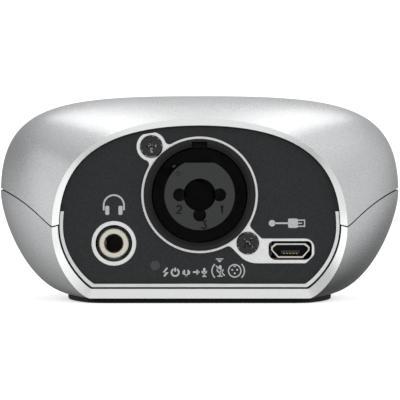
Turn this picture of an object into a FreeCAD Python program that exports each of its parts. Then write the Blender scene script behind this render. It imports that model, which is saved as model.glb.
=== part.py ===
import FreeCAD, Part

import math
import os
import re
import sys

import Sketcher
from FreeCAD import Placement, Rotation, Vector

# Desktop microphone interface and headphone amplifier. Millimetres, +Z up, standing on Z = 0.
# The connector panel faces -Y and the control panel faces +Y, leaning back.

DIMENSIONS = {
    # Housing envelope
    "rear_y": -35.0, "front_y": 35.0, "swell_y": 0.0, "wall": 1.6, "seam_gap": 0.3,
    "seam_low": 15.3, "seam_high": 23.3, "base_z": 1.0, "front_lean": 24.0,
    "tongue_wall": 0.8, "tongue_rise": 1.5, "tongue_drop": 2.0, "tongue_gap": 0.12,
    "tongue_root": 0.7, "tongue_bite": 0.1, "face_clear": 0.4, "cut_over": 0.5,
    # Rear rim and panel stack
    "rim_back": -34.0, "flange_back": -32.6, "lip_front": -33.3, "skin_front": -32.5,
    "plate_front": -32.2, "plate_back": -30.7, "lip_width": 0.65, "lip_top": 18.6,
    "plate_clear": 0.3, "drill_gap": 0.03, "lip_gap": 0.05,
    # Base pad
    "pad_rear_half": 21.8, "pad_front_half": 23.0, "pad_rear": -33.4, "pad_front": 31.0,
    "pad_bow": 96.0, "pad_corner": 5.0, "pad_height": 1.0, "pad_round": 0.4,
    # Case screws and their posts
    "post_x": 25.0, "post_rear": -12.0, "post_pitch": 17.0, "post_radius": 2.3,
    "post_split": 13.0, "case_bore": 1.05, "case_shank": 1.0,
    "case_head": 1.9, "case_head_height": 1.1, "case_length": 17.0, "case_sink": 2.3,
    "case_head_gap": 0.15, "post_gap": 0.2, "post_bite": 0.2, "standoff_floor": 0.6,
    # Combined socket
    "combo_z": 21.95, "barrel_front": -33.4, "barrel_radius": 11.36, "barrel_bore": 9.75,
    "barrel_mouth": 10.45, "barrel_mouth_depth": 0.7, "barrel_floor": -14.0,
    "barrel_back": -12.0, "tube_radius": 11.9, "flange_half": 12.7,
    "flange_thick": 2.0, "flange_corner": 3.4, "combo_ring": 11.85, "screw_offset": 9.8,
    "screw_bore": 1.35, "key_slot_width": 3.1, "key_slot_top": 10.75, "key_slot_length": 12.0,
    "insert_front": -32.5, "insert_radius": 7.15, "insert_flat": 6.5, "jack_bore": 3.3,
    "lobe_offset": 4.08, "lobe_radius": 1.34, "lobe_depth": 4.0, "chamber_radius": 1.75,
    "chamber_depth": 9.5, "contact_radius": 1.7, "contact_bore": 1.3, "contact_length": 8.5,
    "pip_x": -5.5, "pip_z": 5.35, "pip_radius": 0.5, "pip_height": 0.25,
    "flange_relief": 0.4, "screw_play": 0.05, "key_slot_bite": 0.6, "lobe_lap": 0.1,
    "contact_set": 0.3, "pip_near": 0.8, "pin_tail": 0.6, "insert_flat_cut": 1.0,
    "bore_relief": 0.2, "block_half": 8.5, "block_back": -1.0, "block_bore_end": -2.0, "spring_slot": 2.6,
    "spring_slot_front": -11.5, "spring_slot_back": -3.0, "spring_slot_top": 7.2,
    "spring_radius": 4.2, "spring_thick": 0.35, "spring_width": 1.8, "spring_length": 7.4,
    "spring_front": -11.2, "bump_radius": 0.75, "bump_back": 1.2, "bump_rise": 0.55,
    "pin_width": 0.7, "pin_pitch": 3.4, "pin_count": 5.0, "pin_y": -6.6, "pin_hole": 0.6,
    # Flange screws
    "screw_head": 2.32, "screw_head_height": 0.9, "screw_shank": 1.25, "screw_length": 8.0,
    "cross_length": 2.6, "cross_width": 0.55, "cross_depth": 0.55, "cross_wide": 0.95,
    "cross_narrow": 0.35, "cross_sink": 0.2, "cross_above": 1.0, "screw_round": 0.45,
    "screw_spin": 20.0, "screw_turn": 25.0,
    # Metal areas left bare by the panel skin
    "ear_radius": 3.0, "ear_neck": 2.65, "ear_blend": 0.9, "pill_top": 13.08,
    "pill_bottom": 8.05, "pill_end": 23.3, "pill_crown": 1.9, "pill_cut": 1.7,
    "pill_cut_round": 0.8, "pill_heel": 3.0, "pill_heel_round": 4.8, "pill_notch": 0.7,
    # Headphone socket
    "phones_x": -17.4, "phones_z": 12.1, "phones_ring": 4.54, "phones_hole": 3.74,
    "ferrule_front": -33.3, "ferrule_radius": 3.01, "ferrule_neck": 2.4,
    "ferrule_step": -29.6, "ferrule_back": -27.6, "phones_bore": 1.8, "phones_mouth": 2.0,
    "phones_half": 3.5, "phones_top": 3.4, "phones_front": -29.5, "phones_back": -16.0,
    "phones_bore_end": -17.4, "leaf_slot": 1.6, "leaf_slot_front": -26.6,
    "leaf_slot_back": -18.2, "leaf_radius": 2.45, "leaf_thick": 0.25, "leaf_width": 1.1,
    "leaf_length": 7.0, "leaf_front": -26.2, "leaf_bump": 0.55, "leaf_bump_rise": 0.35,
    "leaf_bump_back": 0.9, "tail_width": 0.6, "tail_drop": 1.0, "tail_x": 2.6, "tail_front": -27.0,
    "tail_back": -18.4, "ferrule_ease": 0.2, "mouth_cone": 0.25, "seat_play": 0.02,
    "slot_skin": 0.15,
    # USB socket
    "usb_x": 18.4, "usb_z": 10.65, "usb_front": -33.2, "usb_depth": 5.4,
    "usb_top_half": 3.08, "usb_half": 3.88, "usb_bottom_half": 2.54, "usb_high": 1.46,
    "usb_shoulder": 0.75, "usb_waist": 0.1, "usb_wall": 0.3, "usb_hole_half": 4.4,
    "usb_hole_high": 1.92, "usb_hole_crown": 1.0, "usb_hole_heel": 1.5,
    "tongue_half": 1.9, "tongue_thick": 0.6, "tongue_z": -0.25, "tongue_front_set": 0.9,
    "finger_width": 0.35, "finger_pitch": 0.65, "finger_thick": 0.1, "finger_length": 2.8,
    "finger_set": 0.3, "finger_count": 5.0,
    # Lamp beside the legend
    "lamp_x": -9.0, "lamp_z": 7.6, "lamp_radius": 1.0, "lamp_pipe_back": -30.7,
    "lamp_width": 2.0, "lamp_high": 1.2, "lamp_depth": 1.2,
    # Main board
    "board_half": 22.4, "board_rear": -30.2, "board_front": 16.0, "board_z": 7.5,
    "board_thick": 1.6, "board_corner": 3.0, "board_top": 9.1, "standoff_radius": 2.6,
    "standoff_bore": 0.85, "board_hole": 1.25, "board_screw_head": 1.9,
    "board_screw_height": 1.2, "board_screw_shank": 0.8, "board_screw_length": 5.0,
    "fix_side": 20.5, "fix_rear": -13.0, "fix_front": 12.5,
    # Board components
    "codec_size": 7.0, "codec_thick": 0.9, "codec_x": 5.6, "codec_y": 3.5,
    "brain_size": 9.0, "brain_thick": 1.0, "brain_x": -4.6, "brain_y": 3.5,
    "crystal_long": 5.0, "crystal_wide": 3.2, "crystal_thick": 1.2, "crystal_x": -10.0,
    "crystal_y": 12.5, "can_radius": 3.15, "can_height": 7.7, "can_foot": 6.6,
    "can_foot_height": 0.8, "can_x": 15.0, "can_y": -6.5, "can_pitch": 7.2,
    "coil_size": 6.0, "coil_height": 3.0, "coil_x": 18.0, "coil_y": -20.5,
    "shield_long": 12.0, "shield_wide": 15.0, "shield_height": 3.2, "shield_x": -15.6,
    "shield_y": 0.5, "shield_wall": 0.3, "shield_round": 0.8, "can_round": 0.315, "coil_chamfer": 1.2,
    # Control side, measured along the inward normal of the leaning face
    "face_z": 20.0, "bezel_set": 0.3, "bezel_thick": 2.6, "bezel_width": 1.5,
    "bezel_gap": 0.15, "glass_set": 0.6, "glass_thick": 1.6, "glass_gap": 0.15,
    "face_board_set": 5.4, "face_board_thick": 1.2, "face_board_inset": 4.6,
    "key_x": 11.0, "key_v": -7.0, "key_radius": 4.4, "key_hole": 4.6, "key_proud": 0.5,
    "key_flange": 5.1, "key_flange_set": 2.3, "key_flange_thick": 0.6, "key_dish": 0.25,
    "key_stem": 1.4, "key_stem_end": 3.8, "switch_size": 5.2, "switch_thick": 0.7,
    "dome_radius": 1.5, "dome_rise": 0.35, "guide_half": 14.0,
    "guide_high": 1.0, "guide_v": 5.0, "guide_gap": 0.05, "guide_deep": 2.6,
    "lamp_chip_long": 1.6, "lamp_chip_wide": 0.8, "lamp_chip_thick": 0.6,
    "lamp_pitch": 5.6, "lamp_count": 5.0, "face_margin": 8.0, "face_cut_out": -1.0,
    "face_cut_in": 6.0, "guide_round": 0.98, "key_edge": 0.35, "dish_near": 0.6, "dish_mid": 0.7,
    # Flat cable between the boards
    "cable_width": 9.0, "cable_thick": 0.35, "plug_wide": 11.0, "plug_deep": 3.0,
    "plug_high": 1.6, "plug_y": 13.4, "plug_v": -4.0,
    "cable_run_main": 4.6, "cable_run_front": 2.8,
}

ENVELOPES = {
    # half width, widest height, top, bottom, three handle factors, lower handle and flat half width
    "rear": (29.9, 15.5, 37.3, 1.0, 0.634, 0.653, 0.629, 23.7, 22.1),
    "middle": (42.4, 22.7, 43.05, 1.0, 0.930, 0.702, 0.250, 36.4, 26.3),
    "front": (37.0, 20.0, 37.0, 1.0, 0.800, 0.650, 0.500, 27.0, 23.0),
}
UPPER_OPENING = (28.5, 15.5, 36.0, 2.9, 0.645, 0.703, 0.600, 22.4, 21.9)
LOWER_OPENING = (28.70, 15.5, 36.0, 2.9, 0.645, 0.703, 0.600, 22.4, 21.9)
LIP_OUTER = (28.35, 15.5, 35.65, 3.25, 0.645, 0.703, 0.600, 22.2, 21.7)
SEAM_CONTROLS = ((-36.0, "seam_low"), (-32.5, "seam_low"), (-24.5, "seam_high"), (-2.0, "seam_high"))
SECTION_STEPS = (-35.0, -32.0, -28.0, -23.0, -17.0, -9.0, 0.0, 9.0, 17.0, 24.0, 30.0, 35.0)
BELLY_SHARE = 0.6
LEAST_STEP = 1.5
LOFT_END = 2.5
SWELL_END = 3.0
FAR = 90.0
HAIR = 0.01

doc = FreeCAD.newDocument("DesktopInterface")
sheet = doc.addObject("Spreadsheet::Sheet", "Sheet")
for row, (alias, number) in enumerate(DIMENSIONS.items(), start=1):
    sheet.set(f"A{row}", alias)
    sheet.set(f"B{row}", str(number))
    sheet.setAlias(f"B{row}", alias)
doc.recompute()

NODES = []


def bound(expression):
    """Point every name of an expression at the sheet."""
    return re.sub(r"\b([a-z]\w*)\b", r"Sheet.\1", str(expression))


def value(expression):
    """The number that a sheet expression comes to."""
    return float(sheet.evalExpression(bound(expression)))


def bind(obj, **expressions):
    """Bind properties of an object to sheet expressions."""
    for prop, expression in expressions.items():
        obj.setExpression(prop, bound(expression))


def place(obj, x=0, y=0, z=0, rotation=None):
    """Put an object at a position given in sheet expressions."""
    obj.Placement = Placement(Vector(value(x), value(y), value(z)), rotation or Rotation())
    for axis, expression in (("x", x), ("y", y), ("z", z)):
        obj.setExpression(f"Placement.Base.{axis}", bound(expression))
    return obj


def node(obj, label):
    """Register a finished sub-part under its file name."""
    obj.Label = label
    NODES.append(obj)
    return obj


# Sketches and PartDesign features

def new_body(label):
    return node(doc.addObject("PartDesign::Body", label), label)


def new_sketch(body, plane, offset=0):
    """A sketch on one of the body's origin planes, moved along the plane's normal."""
    sketch = body.newObject("Sketcher::SketchObject", "Sketch")
    support = next(f for f in body.Origin.OriginFeatures if f.Role == plane)
    sketch.AttachmentSupport = [(support, "")]
    sketch.MapMode = "FlatFace"
    sketch.AttachmentOffset = Placement(Vector(0, 0, value(offset)), Rotation())
    sketch.setExpression("AttachmentOffset.Base.z", bound(offset))
    return sketch


def pin_point(sketch, geometry, end, horizontal, vertical):
    """Hold a point at sheet-driven coordinates."""
    for kind, axis, expression in (("DistanceX", -2, horizontal), ("DistanceY", -1, vertical)):
        number = value(expression)
        if abs(number) < 1e-9:
            sketch.addConstraint(Sketcher.Constraint("PointOnObject", geometry, end, axis))
            continue
        index = sketch.addConstraint(Sketcher.Constraint(kind, -1, 1, geometry, end, number))
        sketch.setExpression(f"Constraints[{index}]", bound(expression))


def polygon(sketch, corners):
    """A closed polygon through sheet-driven corners."""
    points = [Vector(value(h), value(v), 0) for h, v in corners]
    first = sketch.GeometryCount
    count = len(points)
    for i, point in enumerate(points):
        sketch.addGeometry(Part.LineSegment(point, points[(i + 1) % count]))
    for i in range(count):
        following = first + (i + 1) % count
        sketch.addConstraint(Sketcher.Constraint("Coincident", first + i, 2, following, 1))
    for i, (h, v) in enumerate(corners):
        pin_point(sketch, first + i, 1, h, v)


def rectangle(sketch, h, v, half_h, half_v):
    """A rectangle about a centre, from half sizes."""
    sides = ((-1, -1), (1, -1), (1, 1), (-1, 1))
    polygon(sketch, [(f"({h}) + {a} * ({half_h})", f"({v}) + {b} * ({half_v})") for a, b in sides])


def bowed_outline(sketch, rear, front, radius):
    """A shape with straight ends and two sides that bow out as arcs of one radius."""
    (rear_half, rear_y), (front_half, front_y) = rear, front
    corners = [(f"-{rear_half}", rear_y), (rear_half, rear_y),
               (front_half, front_y), (f"-{front_half}", front_y)]
    points = [Vector(value(h), value(v), 0) for h, v in corners]
    size = value(radius)
    for i, point in enumerate(points):
        following = points[(i + 1) % 4]
        if i % 2 == 0:
            sketch.addGeometry(Part.LineSegment(point, following))
            continue
        chord = following - point
        outward = Vector(chord.y, -chord.x, 0).normalize()
        rise = size - math.sqrt(size ** 2 - (chord.Length / 2) ** 2)
        middle = (point + following) * 0.5 + outward * rise
        arc = sketch.addGeometry(Part.Arc(point, middle, following))
        index = sketch.addConstraint(Sketcher.Constraint("Radius", arc, size))
        sketch.setExpression(f"Constraints[{index}]", bound(radius))
    for i in range(4):
        sketch.addConstraint(Sketcher.Constraint("Coincident", i, 2, (i + 1) % 4, 1))
    for i, (h, v) in zip((0, 2), (corners[0], corners[2])):
        pin_point(sketch, i, 1, h, v)
    for i, (h, v) in zip((0, 2), (corners[1], corners[3])):
        pin_point(sketch, i, 2, h, v)


def circle(sketch, h, v, radius):
    """A circle at sheet-driven coordinates."""
    centre = Vector(value(h), value(v), 0)
    index = sketch.addGeometry(Part.Circle(centre, Vector(0, 0, 1), value(radius)))
    size = sketch.addConstraint(Sketcher.Constraint("Radius", index, value(radius)))
    sketch.setExpression(f"Constraints[{size}]", bound(radius))
    pin_point(sketch, index, 3, h, v)


def extrude(body, kind, sketch, length, reverse=False, symmetric=False):
    """A Pad or a Pocket of a sheet-driven length."""
    feature = body.newObject(f"PartDesign::{kind}", kind)
    feature.Profile = sketch
    feature.Type = "Length"
    feature.setExpression("Length", bound(length))
    feature.Reversed = reverse
    feature.SideType = "Symmetric" if symmetric else "One side"
    sketch.Visibility = False
    return feature


def turn(body, kind, sketch):
    """A Revolution or Groove about the sketch's horizontal axis."""
    feature = body.newObject(f"PartDesign::{kind}", kind)
    feature.Profile = sketch
    feature.ReferenceAxis = (sketch, ["H_Axis"])
    feature.Angle = 360.0
    return feature


def dress(body, kind, base, edges, size):
    """A Fillet or a Chamfer on picked edges."""
    feature = body.newObject(f"PartDesign::{kind}", kind)
    feature.Base = (base, edges)
    feature.setExpression("Radius" if kind == "Fillet" else "Size", bound(size))
    return feature


def edges_where(feature, test):
    """Names of the edges of a feature that pass a test."""
    doc.recompute()
    return [f"Edge{i}" for i, e in enumerate(feature.Shape.Edges, start=1) if test(e)]


def is_along(edge, axis):
    """True for a straight edge parallel to an axis."""
    if edge.Curve.TypeId != "Part::GeomLine":
        return False
    return abs(abs(edge.Curve.Direction.dot(axis)) - 1) < 1e-6


def primitive(kind, **expressions):
    """A Part primitive with sheet-driven sizes."""
    obj = doc.addObject(f"Part::{kind}", kind)
    bind(obj, **expressions)
    return obj


def feature(shape, label=None):
    """A Part::Feature holding a ready shape, registered when it has a label."""
    obj = doc.addObject("Part::Feature", label or "Tool")
    obj.Shape = shape
    return node(obj, label) if label else obj


# Housing envelope

def outline(profile, y, inset=0.0):
    """Closed wire of five edges in the plane at y: a Bezier crown, a Bezier belly and a flat foot."""
    half, widest, top, bottom, side, crown, belly, handle, flat = profile
    half, top, bottom = half - inset, top - inset, bottom + inset
    handle, flat = handle - inset * BELLY_SHARE, flat - inset * BELLY_SHARE
    rise, drop = side * (top - widest), belly * (widest - bottom)
    crown_right = [(half, widest), (half, widest + rise), (crown * half, top), (0, top)]
    belly_right = [(flat, bottom), (handle, bottom), (half, widest - drop), (half, widest)]
    mirrored = [[(-x, z) for x, z in reversed(curve)] for curve in (crown_right, belly_right)]
    edges = []
    for curve in (crown_right, mirrored[0], mirrored[1]):
        edges.append(bezier_edge([Vector(x, y, z) for x, z in curve]))
    edges.append(Part.makeLine(Vector(-flat, y, bottom), Vector(flat, y, bottom)))
    edges.append(bezier_edge([Vector(x, y, z) for x, z in belly_right]))
    return Part.Wire(edges)


def bezier_edge(poles):
    curve = Part.BezierCurve()
    curve.setPoles(poles)
    return curve.toShape()


def blended(y):
    """The envelope's section at y: it swells from either end to the middle along a quarter sine."""
    swell = value("swell_y")
    end, reach = ("rear", value("rear_y")) if y < swell else ("front", value("front_y") + SWELL_END)
    weight = math.sin(math.pi / 2 * (1 - abs((y - swell) / (reach - swell))))
    return [a + (b - a) * weight for a, b in zip(ENVELOPES[end], ENVELOPES["middle"])]


def envelope(inset=0.0, start=None):
    """The housing's outer solid, or the same solid drawn in by an inset and begun further forward."""
    start = value("rear_y") if start is None else start
    steps = [start] + [y for y in SECTION_STEPS if y > start + LEAST_STEP]
    steps.append(value("front_y") + LOFT_END)
    return Part.makeLoft([outline(blended(y), y, inset) for y in steps], True, False)


def slab(profile, y_from, y_to, inset=0.0):
    """An outline made solid between two depths."""
    face = Part.Face(outline(profile, y_from, inset))
    return face.extrude(Vector(0, y_to - y_from, 0))


def seam_region(shift, above):
    """Everything above or below the seam surface, moved up by a shift."""
    poles = [Vector(-FAR, y, value(z) + shift) for y, z in SEAM_CONTROLS]
    curve = bezier_edge(poles)
    last = poles[-1]
    far_front = Vector(-FAR, FAR, last.z)
    limit = FAR if above else -FAR
    corners = [far_front, Vector(-FAR, FAR, limit), Vector(-FAR, poles[0].y, limit), poles[0]]
    edges = [curve, Part.makeLine(last, far_front)]
    edges += [Part.makeLine(a, b) for a, b in zip(corners, corners[1:])]
    return Part.Face(Part.Wire(edges)).extrude(Vector(2 * FAR, 0, 0))


LEAN = math.radians(value("front_lean"))
FACE_NORMAL = Vector(0, math.cos(LEAN), math.sin(LEAN))
FACE_UP = Vector(0, -math.sin(LEAN), math.cos(LEAN))
FACE_CENTRE = Vector(0, value("front_y") - value("face_z - base_z") * math.tan(LEAN), value("face_z"))
FACE_ROTATION = Rotation(Vector(-1, 0, 0), FACE_UP, FACE_NORMAL, "ZXY")


def face_slab(nearest, farthest):
    """The layer of space between two depths below the leaning control face."""
    box = Part.makeBox(2 * FAR, 2 * FAR, farthest - nearest, Vector(-FAR, -FAR, -farthest))
    box.Placement = Placement(FACE_CENTRE, FACE_ROTATION)
    return box


def on_face(u, v, depth=0.0):
    """A placement on the control face: u to the viewer's right, v up the slope, depth inwards."""
    base = FACE_CENTRE + Vector(-1, 0, 0) * u + FACE_UP * v - FACE_NORMAL * depth
    return Placement(base, FACE_ROTATION)


def upright(x, y, z_from, z_to, radius):
    """A vertical cylinder."""
    return Part.makeCylinder(radius, z_to - z_from, Vector(x, y, z_from))


def across(x, z, radius, y_from, y_to):
    """A cylinder along Y."""
    return Part.makeCylinder(radius, y_to - y_from, Vector(x, y_from, z), Vector(0, 1, 0))


POSTS = [(side * value("post_x"), value("post_rear") + i * value("post_pitch"))
         for side in (-1, 1) for i in (0, 1)]
BOARD_FIXINGS = [(f"{side} * fix_side", spot) for side in (-1, 1) for spot in ("fix_rear", "fix_front")]


def build_shells():
    """Top and bottom shells, with the rear rim, the seam tongue and the screw posts."""
    wall = value("wall")
    inner_space = envelope(wall, value("flange_back"))
    beyond_face = face_slab(-FAR, 0)
    outer = envelope().cut(beyond_face)
    hollow = outer.cut(inner_space)
    half_gap, over = value("seam_gap") / 2, value("cut_over")
    rear, rim_back = value("rear_y"), value("rim_back")
    shells = {}
    for side, opening in (("top", UPPER_OPENING), ("bottom", LOWER_OPENING)):
        above = side == "top"
        bevel = Part.makeLoft([outline(ENVELOPES["rear"], rear - HAIR), outline(opening, rim_back)],
                              True, True)
        shell = hollow.cut(bevel).cut(slab(opening, rim_back - HAIR, value("flange_back") + over))
        shells[side] = shell.common(seam_region(half_gap if above else -half_gap, above))
    tongue_out = wall + value("tongue_gap")
    within = envelope(tongue_out + value("tongue_wall"), value("plate_back") - over)
    before_bezel = face_slab(-FAR, value("bezel_set + bezel_thick + face_clear"))
    band = envelope(tongue_out, value("plate_back")).common(seam_region(value("tongue_rise"), False))
    root = envelope(wall - value("tongue_bite"), value("plate_back"))
    root = root.common(seam_region(-half_gap - value("tongue_root"), False))
    band, root = (part.cut(within).common(seam_region(-value("tongue_drop"), True)).cut(before_bezel)
                  for part in (band, root))
    inside = envelope(wall - value("post_bite"), value("flange_back"))
    top, bottom = shells["top"], shells["bottom"].fuse([band, root])
    split, base = value("post_split"), value("base_z")
    post, bore = value("post_radius"), value("case_bore")
    for x, y in POSTS:
        bottom = bottom.fuse(upright(x, y, 0, split, post).common(inside))
        top = top.fuse(upright(x, y, split + value("post_gap"), FAR, post).common(inside))
    fixings = [(value(x), value(y)) for x, y in BOARD_FIXINGS]
    for x, y in fixings:
        bottom = bottom.fuse(upright(x, y, 0, value("board_z"), value("standoff_radius")).common(inside))
    for x, y in POSTS:
        bottom = bottom.cut(upright(x, y, 0, FAR, bore))
        bottom = bottom.cut(upright(x, y, 0, base + value("case_sink"), value("case_head + case_head_gap")))
        top = top.cut(upright(x, y, split, base + value("case_sink") + value("case_length"), bore))
    for x, y in fixings:
        floor = base + wall + value("standoff_floor")
        bottom = bottom.cut(upright(x, y, floor, FAR, value("standoff_bore")))
    feature(top.removeSplitter(), "top_shell")
    feature(bottom.removeSplitter(), "bottom_shell")


def bare_metal_window(y_from, y_to):
    """The window in the panel skin round the combined socket, its two ears and the USB socket."""
    z0, off, ring = value("combo_z"), value("screw_offset"), value("combo_ring")
    neck, heel, slope = value("ear_neck"), value("pill_heel"), math.sqrt(0.5)
    low, high, end, cut = (value(n) for n in ("pill_bottom", "pill_top", "pill_end", "pill_cut"))

    def beside(distance, offset):
        """A point along the falling diagonal through the ring's centre, moved up and right by an offset."""
        return (distance + offset) * slope, z0 + (offset - distance) * slope

    reach = off / slope
    notch = (beside(reach, neck)[0] + beside(reach, neck)[1] - high, high)
    heel_point = (beside(reach, -heel)[0] + beside(reach, -heel)[1] - low, low)
    tab = [beside(0, -neck), beside(-reach, -neck), beside(-reach, neck), beside(0, neck)]
    pill = [beside(0, -heel), beside(0, neck), notch, (end, high), (end, low + cut), (end - cut, low),
            heel_point]
    window = across(0, z0, ring, y_from, y_to).fuse([
        across(-off, z0 + off, value("ear_radius"), y_from, y_to), prism(tab, y_from, y_to),
        prism(pill, y_from, y_to)]).removeSplitter()
    blend = value("ear_blend")
    rounds = [(notch, value("pill_notch")), ((end, high), value("pill_crown")),
              ((end, low + cut), value("pill_cut_round")), ((end - cut, low), value("pill_cut_round")),
              (heel_point, value("pill_heel_round"))]
    for side, offset in ((-1, -neck), (-1, neck), (1, neck), (1, -heel)):
        along = side * math.sqrt(ring ** 2 - offset ** 2)
        rounds.append((beside(along, offset), blend))
    for point, radius in rounds:
        window = window.makeFillet(radius, [nearest_edge(window, *point)])
    return window


def prism(corners, y_from, y_to):
    """A polygon in X and Z made solid between two depths."""
    points = [Vector(x, y_from, z) for x, z in corners]
    return Part.Face(Part.makePolygon(points + points[:1])).extrude(Vector(0, y_to - y_from, 0))


def nearest_edge(shape, x, z):
    """The edge along Y that passes closest to a point."""
    def gap(edge):
        at = edge.Vertexes[0].Point
        return math.hypot(at.x - x, at.z - z)
    return min((e for e in shape.Edges if is_along(e, Vector(0, 1, 0))), key=gap)


def usb_hole(y_from, y_to):
    """The slot round the USB socket, rounder at its lower corners."""
    half, high, x, z = (value(n) for n in ("usb_hole_half", "usb_hole_high", "usb_x", "usb_z"))
    box = Part.makeBox(2 * half, y_to - y_from, 2 * high, Vector(x - half, y_from, z - high))
    for level, radius in ((1, value("usb_hole_crown")), (-1, value("usb_hole_heel"))):
        box = box.makeFillet(radius, [nearest_edge(box, x + s * half, z + level * high) for s in (-1, 1)])
    return box


def drilled(shape, holes, y_from, y_to):
    """A plate with round holes along Y, each given by its centre and radius."""
    over = value("cut_over")
    for x, z, radius in holes:
        shape = shape.cut(across(value(x), value(z), value(radius), y_from - over, y_to + over))
    return shape


def build_panel():
    """The connector plate, the dark skin over it and the U-shaped frame in front."""
    front, back, over = value("plate_front"), value("plate_back"), value("cut_over")
    lamp = ("lamp_x", "lamp_z", "lamp_radius + drill_gap")
    holes = [(0, "combo_z", "barrel_radius + drill_gap"), ("phones_x", "phones_z", "phones_hole"), lamp]
    holes += [(f"{side} * screw_offset", f"combo_z - {side} * screw_offset", "screw_bore")
              for side in (-1, 1)]
    plate = drilled(slab(blended(front), front, back, value("wall + plate_clear")), holes, front, back)
    feature(plate.cut(usb_hole(front - over, back + over)), "connector_plate")

    def lip_band(y_from, depth, height):
        """The U-shaped band along the lower part of the opening, with a wall of some depth."""
        band = slab(LIP_OUTER, y_from, front).cut(slab(LIP_OUTER, y_from - over, front + over, depth))
        return band.common(Part.makeBox(2 * FAR, FAR, height, Vector(-FAR, y_from - over, 0)))

    width, top, gap = value("lip_width"), value("lip_top"), value("lip_gap")
    feature(lip_band(value("lip_front"), width, top), "inner_frame")

    skin_front = value("skin_front")
    skin = slab(LIP_OUTER, skin_front, front).cut(lip_band(skin_front, width + gap, top + gap))
    skin = skin.cut(bare_metal_window(skin_front - over, front + over))
    skin = drilled(skin, [("phones_x", "phones_z", "phones_ring"), lamp], skin_front, front)
    feature(skin, "panel_skin")


def build_base():
    """The rubber pad under the housing, and the case screws above it."""
    body = new_body("foot_pad")
    sketch = new_sketch(body, "XY_Plane")
    bowed_outline(sketch, ("pad_rear_half", "pad_rear"), ("pad_front_half", "pad_front"), "pad_bow")
    pad = extrude(body, "Pad", sketch, "pad_height")
    corners = edges_where(pad, lambda e: is_along(e, Vector(0, 0, 1)))
    rounded = dress(body, "Fillet", pad, corners, "pad_corner")
    rim = edges_where(rounded, lambda e: all(abs(v.Z) < 1e-6 for v in e.Vertexes))
    dress(body, "Fillet", rounded, rim, "pad_round")

    screws = []
    for x, y in POSTS:
        base = value("base_z + case_sink")
        shank = upright(x, y, base, base + value("case_length") - 1, value("case_shank"))
        head = upright(x, y, base - value("case_head_height"), base, value("case_head"))
        recess = cross_cutter(Vector(x, y, base - value("case_head_height")), Vector(0, 0, 1))
        screws.append(head.fuse(shank).cut(recess).removeSplitter())
    feature(Part.makeCompound(screws), "case_screws")


def cross_cutter(top, inward):
    """A cross-head recess sunk from the top of a screw head."""
    depth, length, width = value("cross_depth"), value("cross_length"), value("cross_width")
    above = value("cross_above")
    arms = [Part.makeBox(a, b, depth + above, Vector(-a / 2, -b / 2, -above))
            for a, b in ((length, width), (width, length))]
    cone = Part.makeCone(width * value("cross_wide"), width * value("cross_narrow"),
                         depth + value("cross_sink"))
    cutter = arms[0].fuse([arms[1], cone])
    cutter.Placement = Placement(top, Rotation(Vector(0, 0, 1), inward))
    return cutter


def place_combo(body):
    return place(body, 0, 0, "combo_z")


def build_combo_housing():
    """The barrel with its square flange, and the floor that carries the insert."""
    body = place_combo(new_body("combo_floor"))
    sketch = new_sketch(body, "XZ_Plane", "-barrel_floor")
    circle(sketch, 0, 0, "barrel_bore")
    circle(sketch, 0, 0, "jack_bore + 2 * bore_relief")
    extrude(body, "Pad", sketch, "barrel_back - barrel_floor", reverse=True)

    body = place_combo(new_body("combo_housing"))
    sketch = new_sketch(body, "YZ_Plane")
    polygon(sketch, [
        ("barrel_front", "barrel_mouth"), ("barrel_front", "barrel_radius"),
        ("plate_back", "barrel_radius"), ("plate_back", "tube_radius"),
        ("barrel_back", "tube_radius"), ("barrel_back", "barrel_bore"),
        ("barrel_front + barrel_mouth_depth", "barrel_bore")])
    turn(body, "Revolution", sketch)

    flange = new_sketch(body, "XZ_Plane", "-(plate_back + flange_thick)")
    rectangle(flange, 0, 0, "flange_half", "flange_half")
    circle(flange, 0, 0, "tube_radius - flange_relief")
    for side in (-1, 1):
        circle(flange, f"{side} * screw_offset", f"-{side} * screw_offset", "screw_shank + screw_play")
    plate = extrude(body, "Pad", flange, "flange_thick")
    half = value("flange_half")
    corners = edges_where(plate, lambda e: is_along(e, Vector(0, 1, 0)) and
                          abs(abs(e.Vertexes[0].X) - half) < 1e-3)
    dress(body, "Fillet", plate, corners, "flange_corner")

    keyway = new_sketch(body, "XZ_Plane", "-barrel_front")
    rectangle(keyway, 0, "(key_slot_top + barrel_bore - key_slot_bite) / 2", "key_slot_width / 2",
              "(key_slot_top - barrel_bore + key_slot_bite) / 2")
    extrude(body, "Pocket", keyway, "key_slot_length")


def build_combo_insert():
    """The centre insert: a clover-leaf mouth for both plugs, with a full round collar behind it."""
    body = place_combo(new_body("combo_insert"))
    length = "barrel_floor - insert_front"
    sketch = new_sketch(body, "XZ_Plane", "-insert_front")
    circle(sketch, 0, 0, "insert_radius")
    circle(sketch, 0, 0, "jack_bore")
    extrude(body, "Pad", sketch, length, reverse=True)

    flat = new_sketch(body, "XZ_Plane", "-insert_front")
    rectangle(flat, 0, "insert_flat + insert_flat_cut", "insert_radius", "insert_flat_cut")
    extrude(body, "Pocket", flat, length)

    for radius, start, depth in (("lobe_radius", "insert_front", "lobe_depth + lobe_lap"),
                                 ("chamber_radius", "insert_front + lobe_depth", "chamber_depth")):
        for h, v in (("-lobe_offset", 0), ("lobe_offset", 0), (0, "-lobe_offset")):
            mouth = new_sketch(body, "XZ_Plane", f"-({start})")
            circle(mouth, h, v, radius)
            extrude(body, "Pocket", mouth, depth)

    pip = new_sketch(body, "XZ_Plane", "-insert_front")
    circle(pip, "pip_x * pip_near", "pip_z * pip_near", "pip_radius")
    extrude(body, "Pocket", pip, "pip_height")


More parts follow.
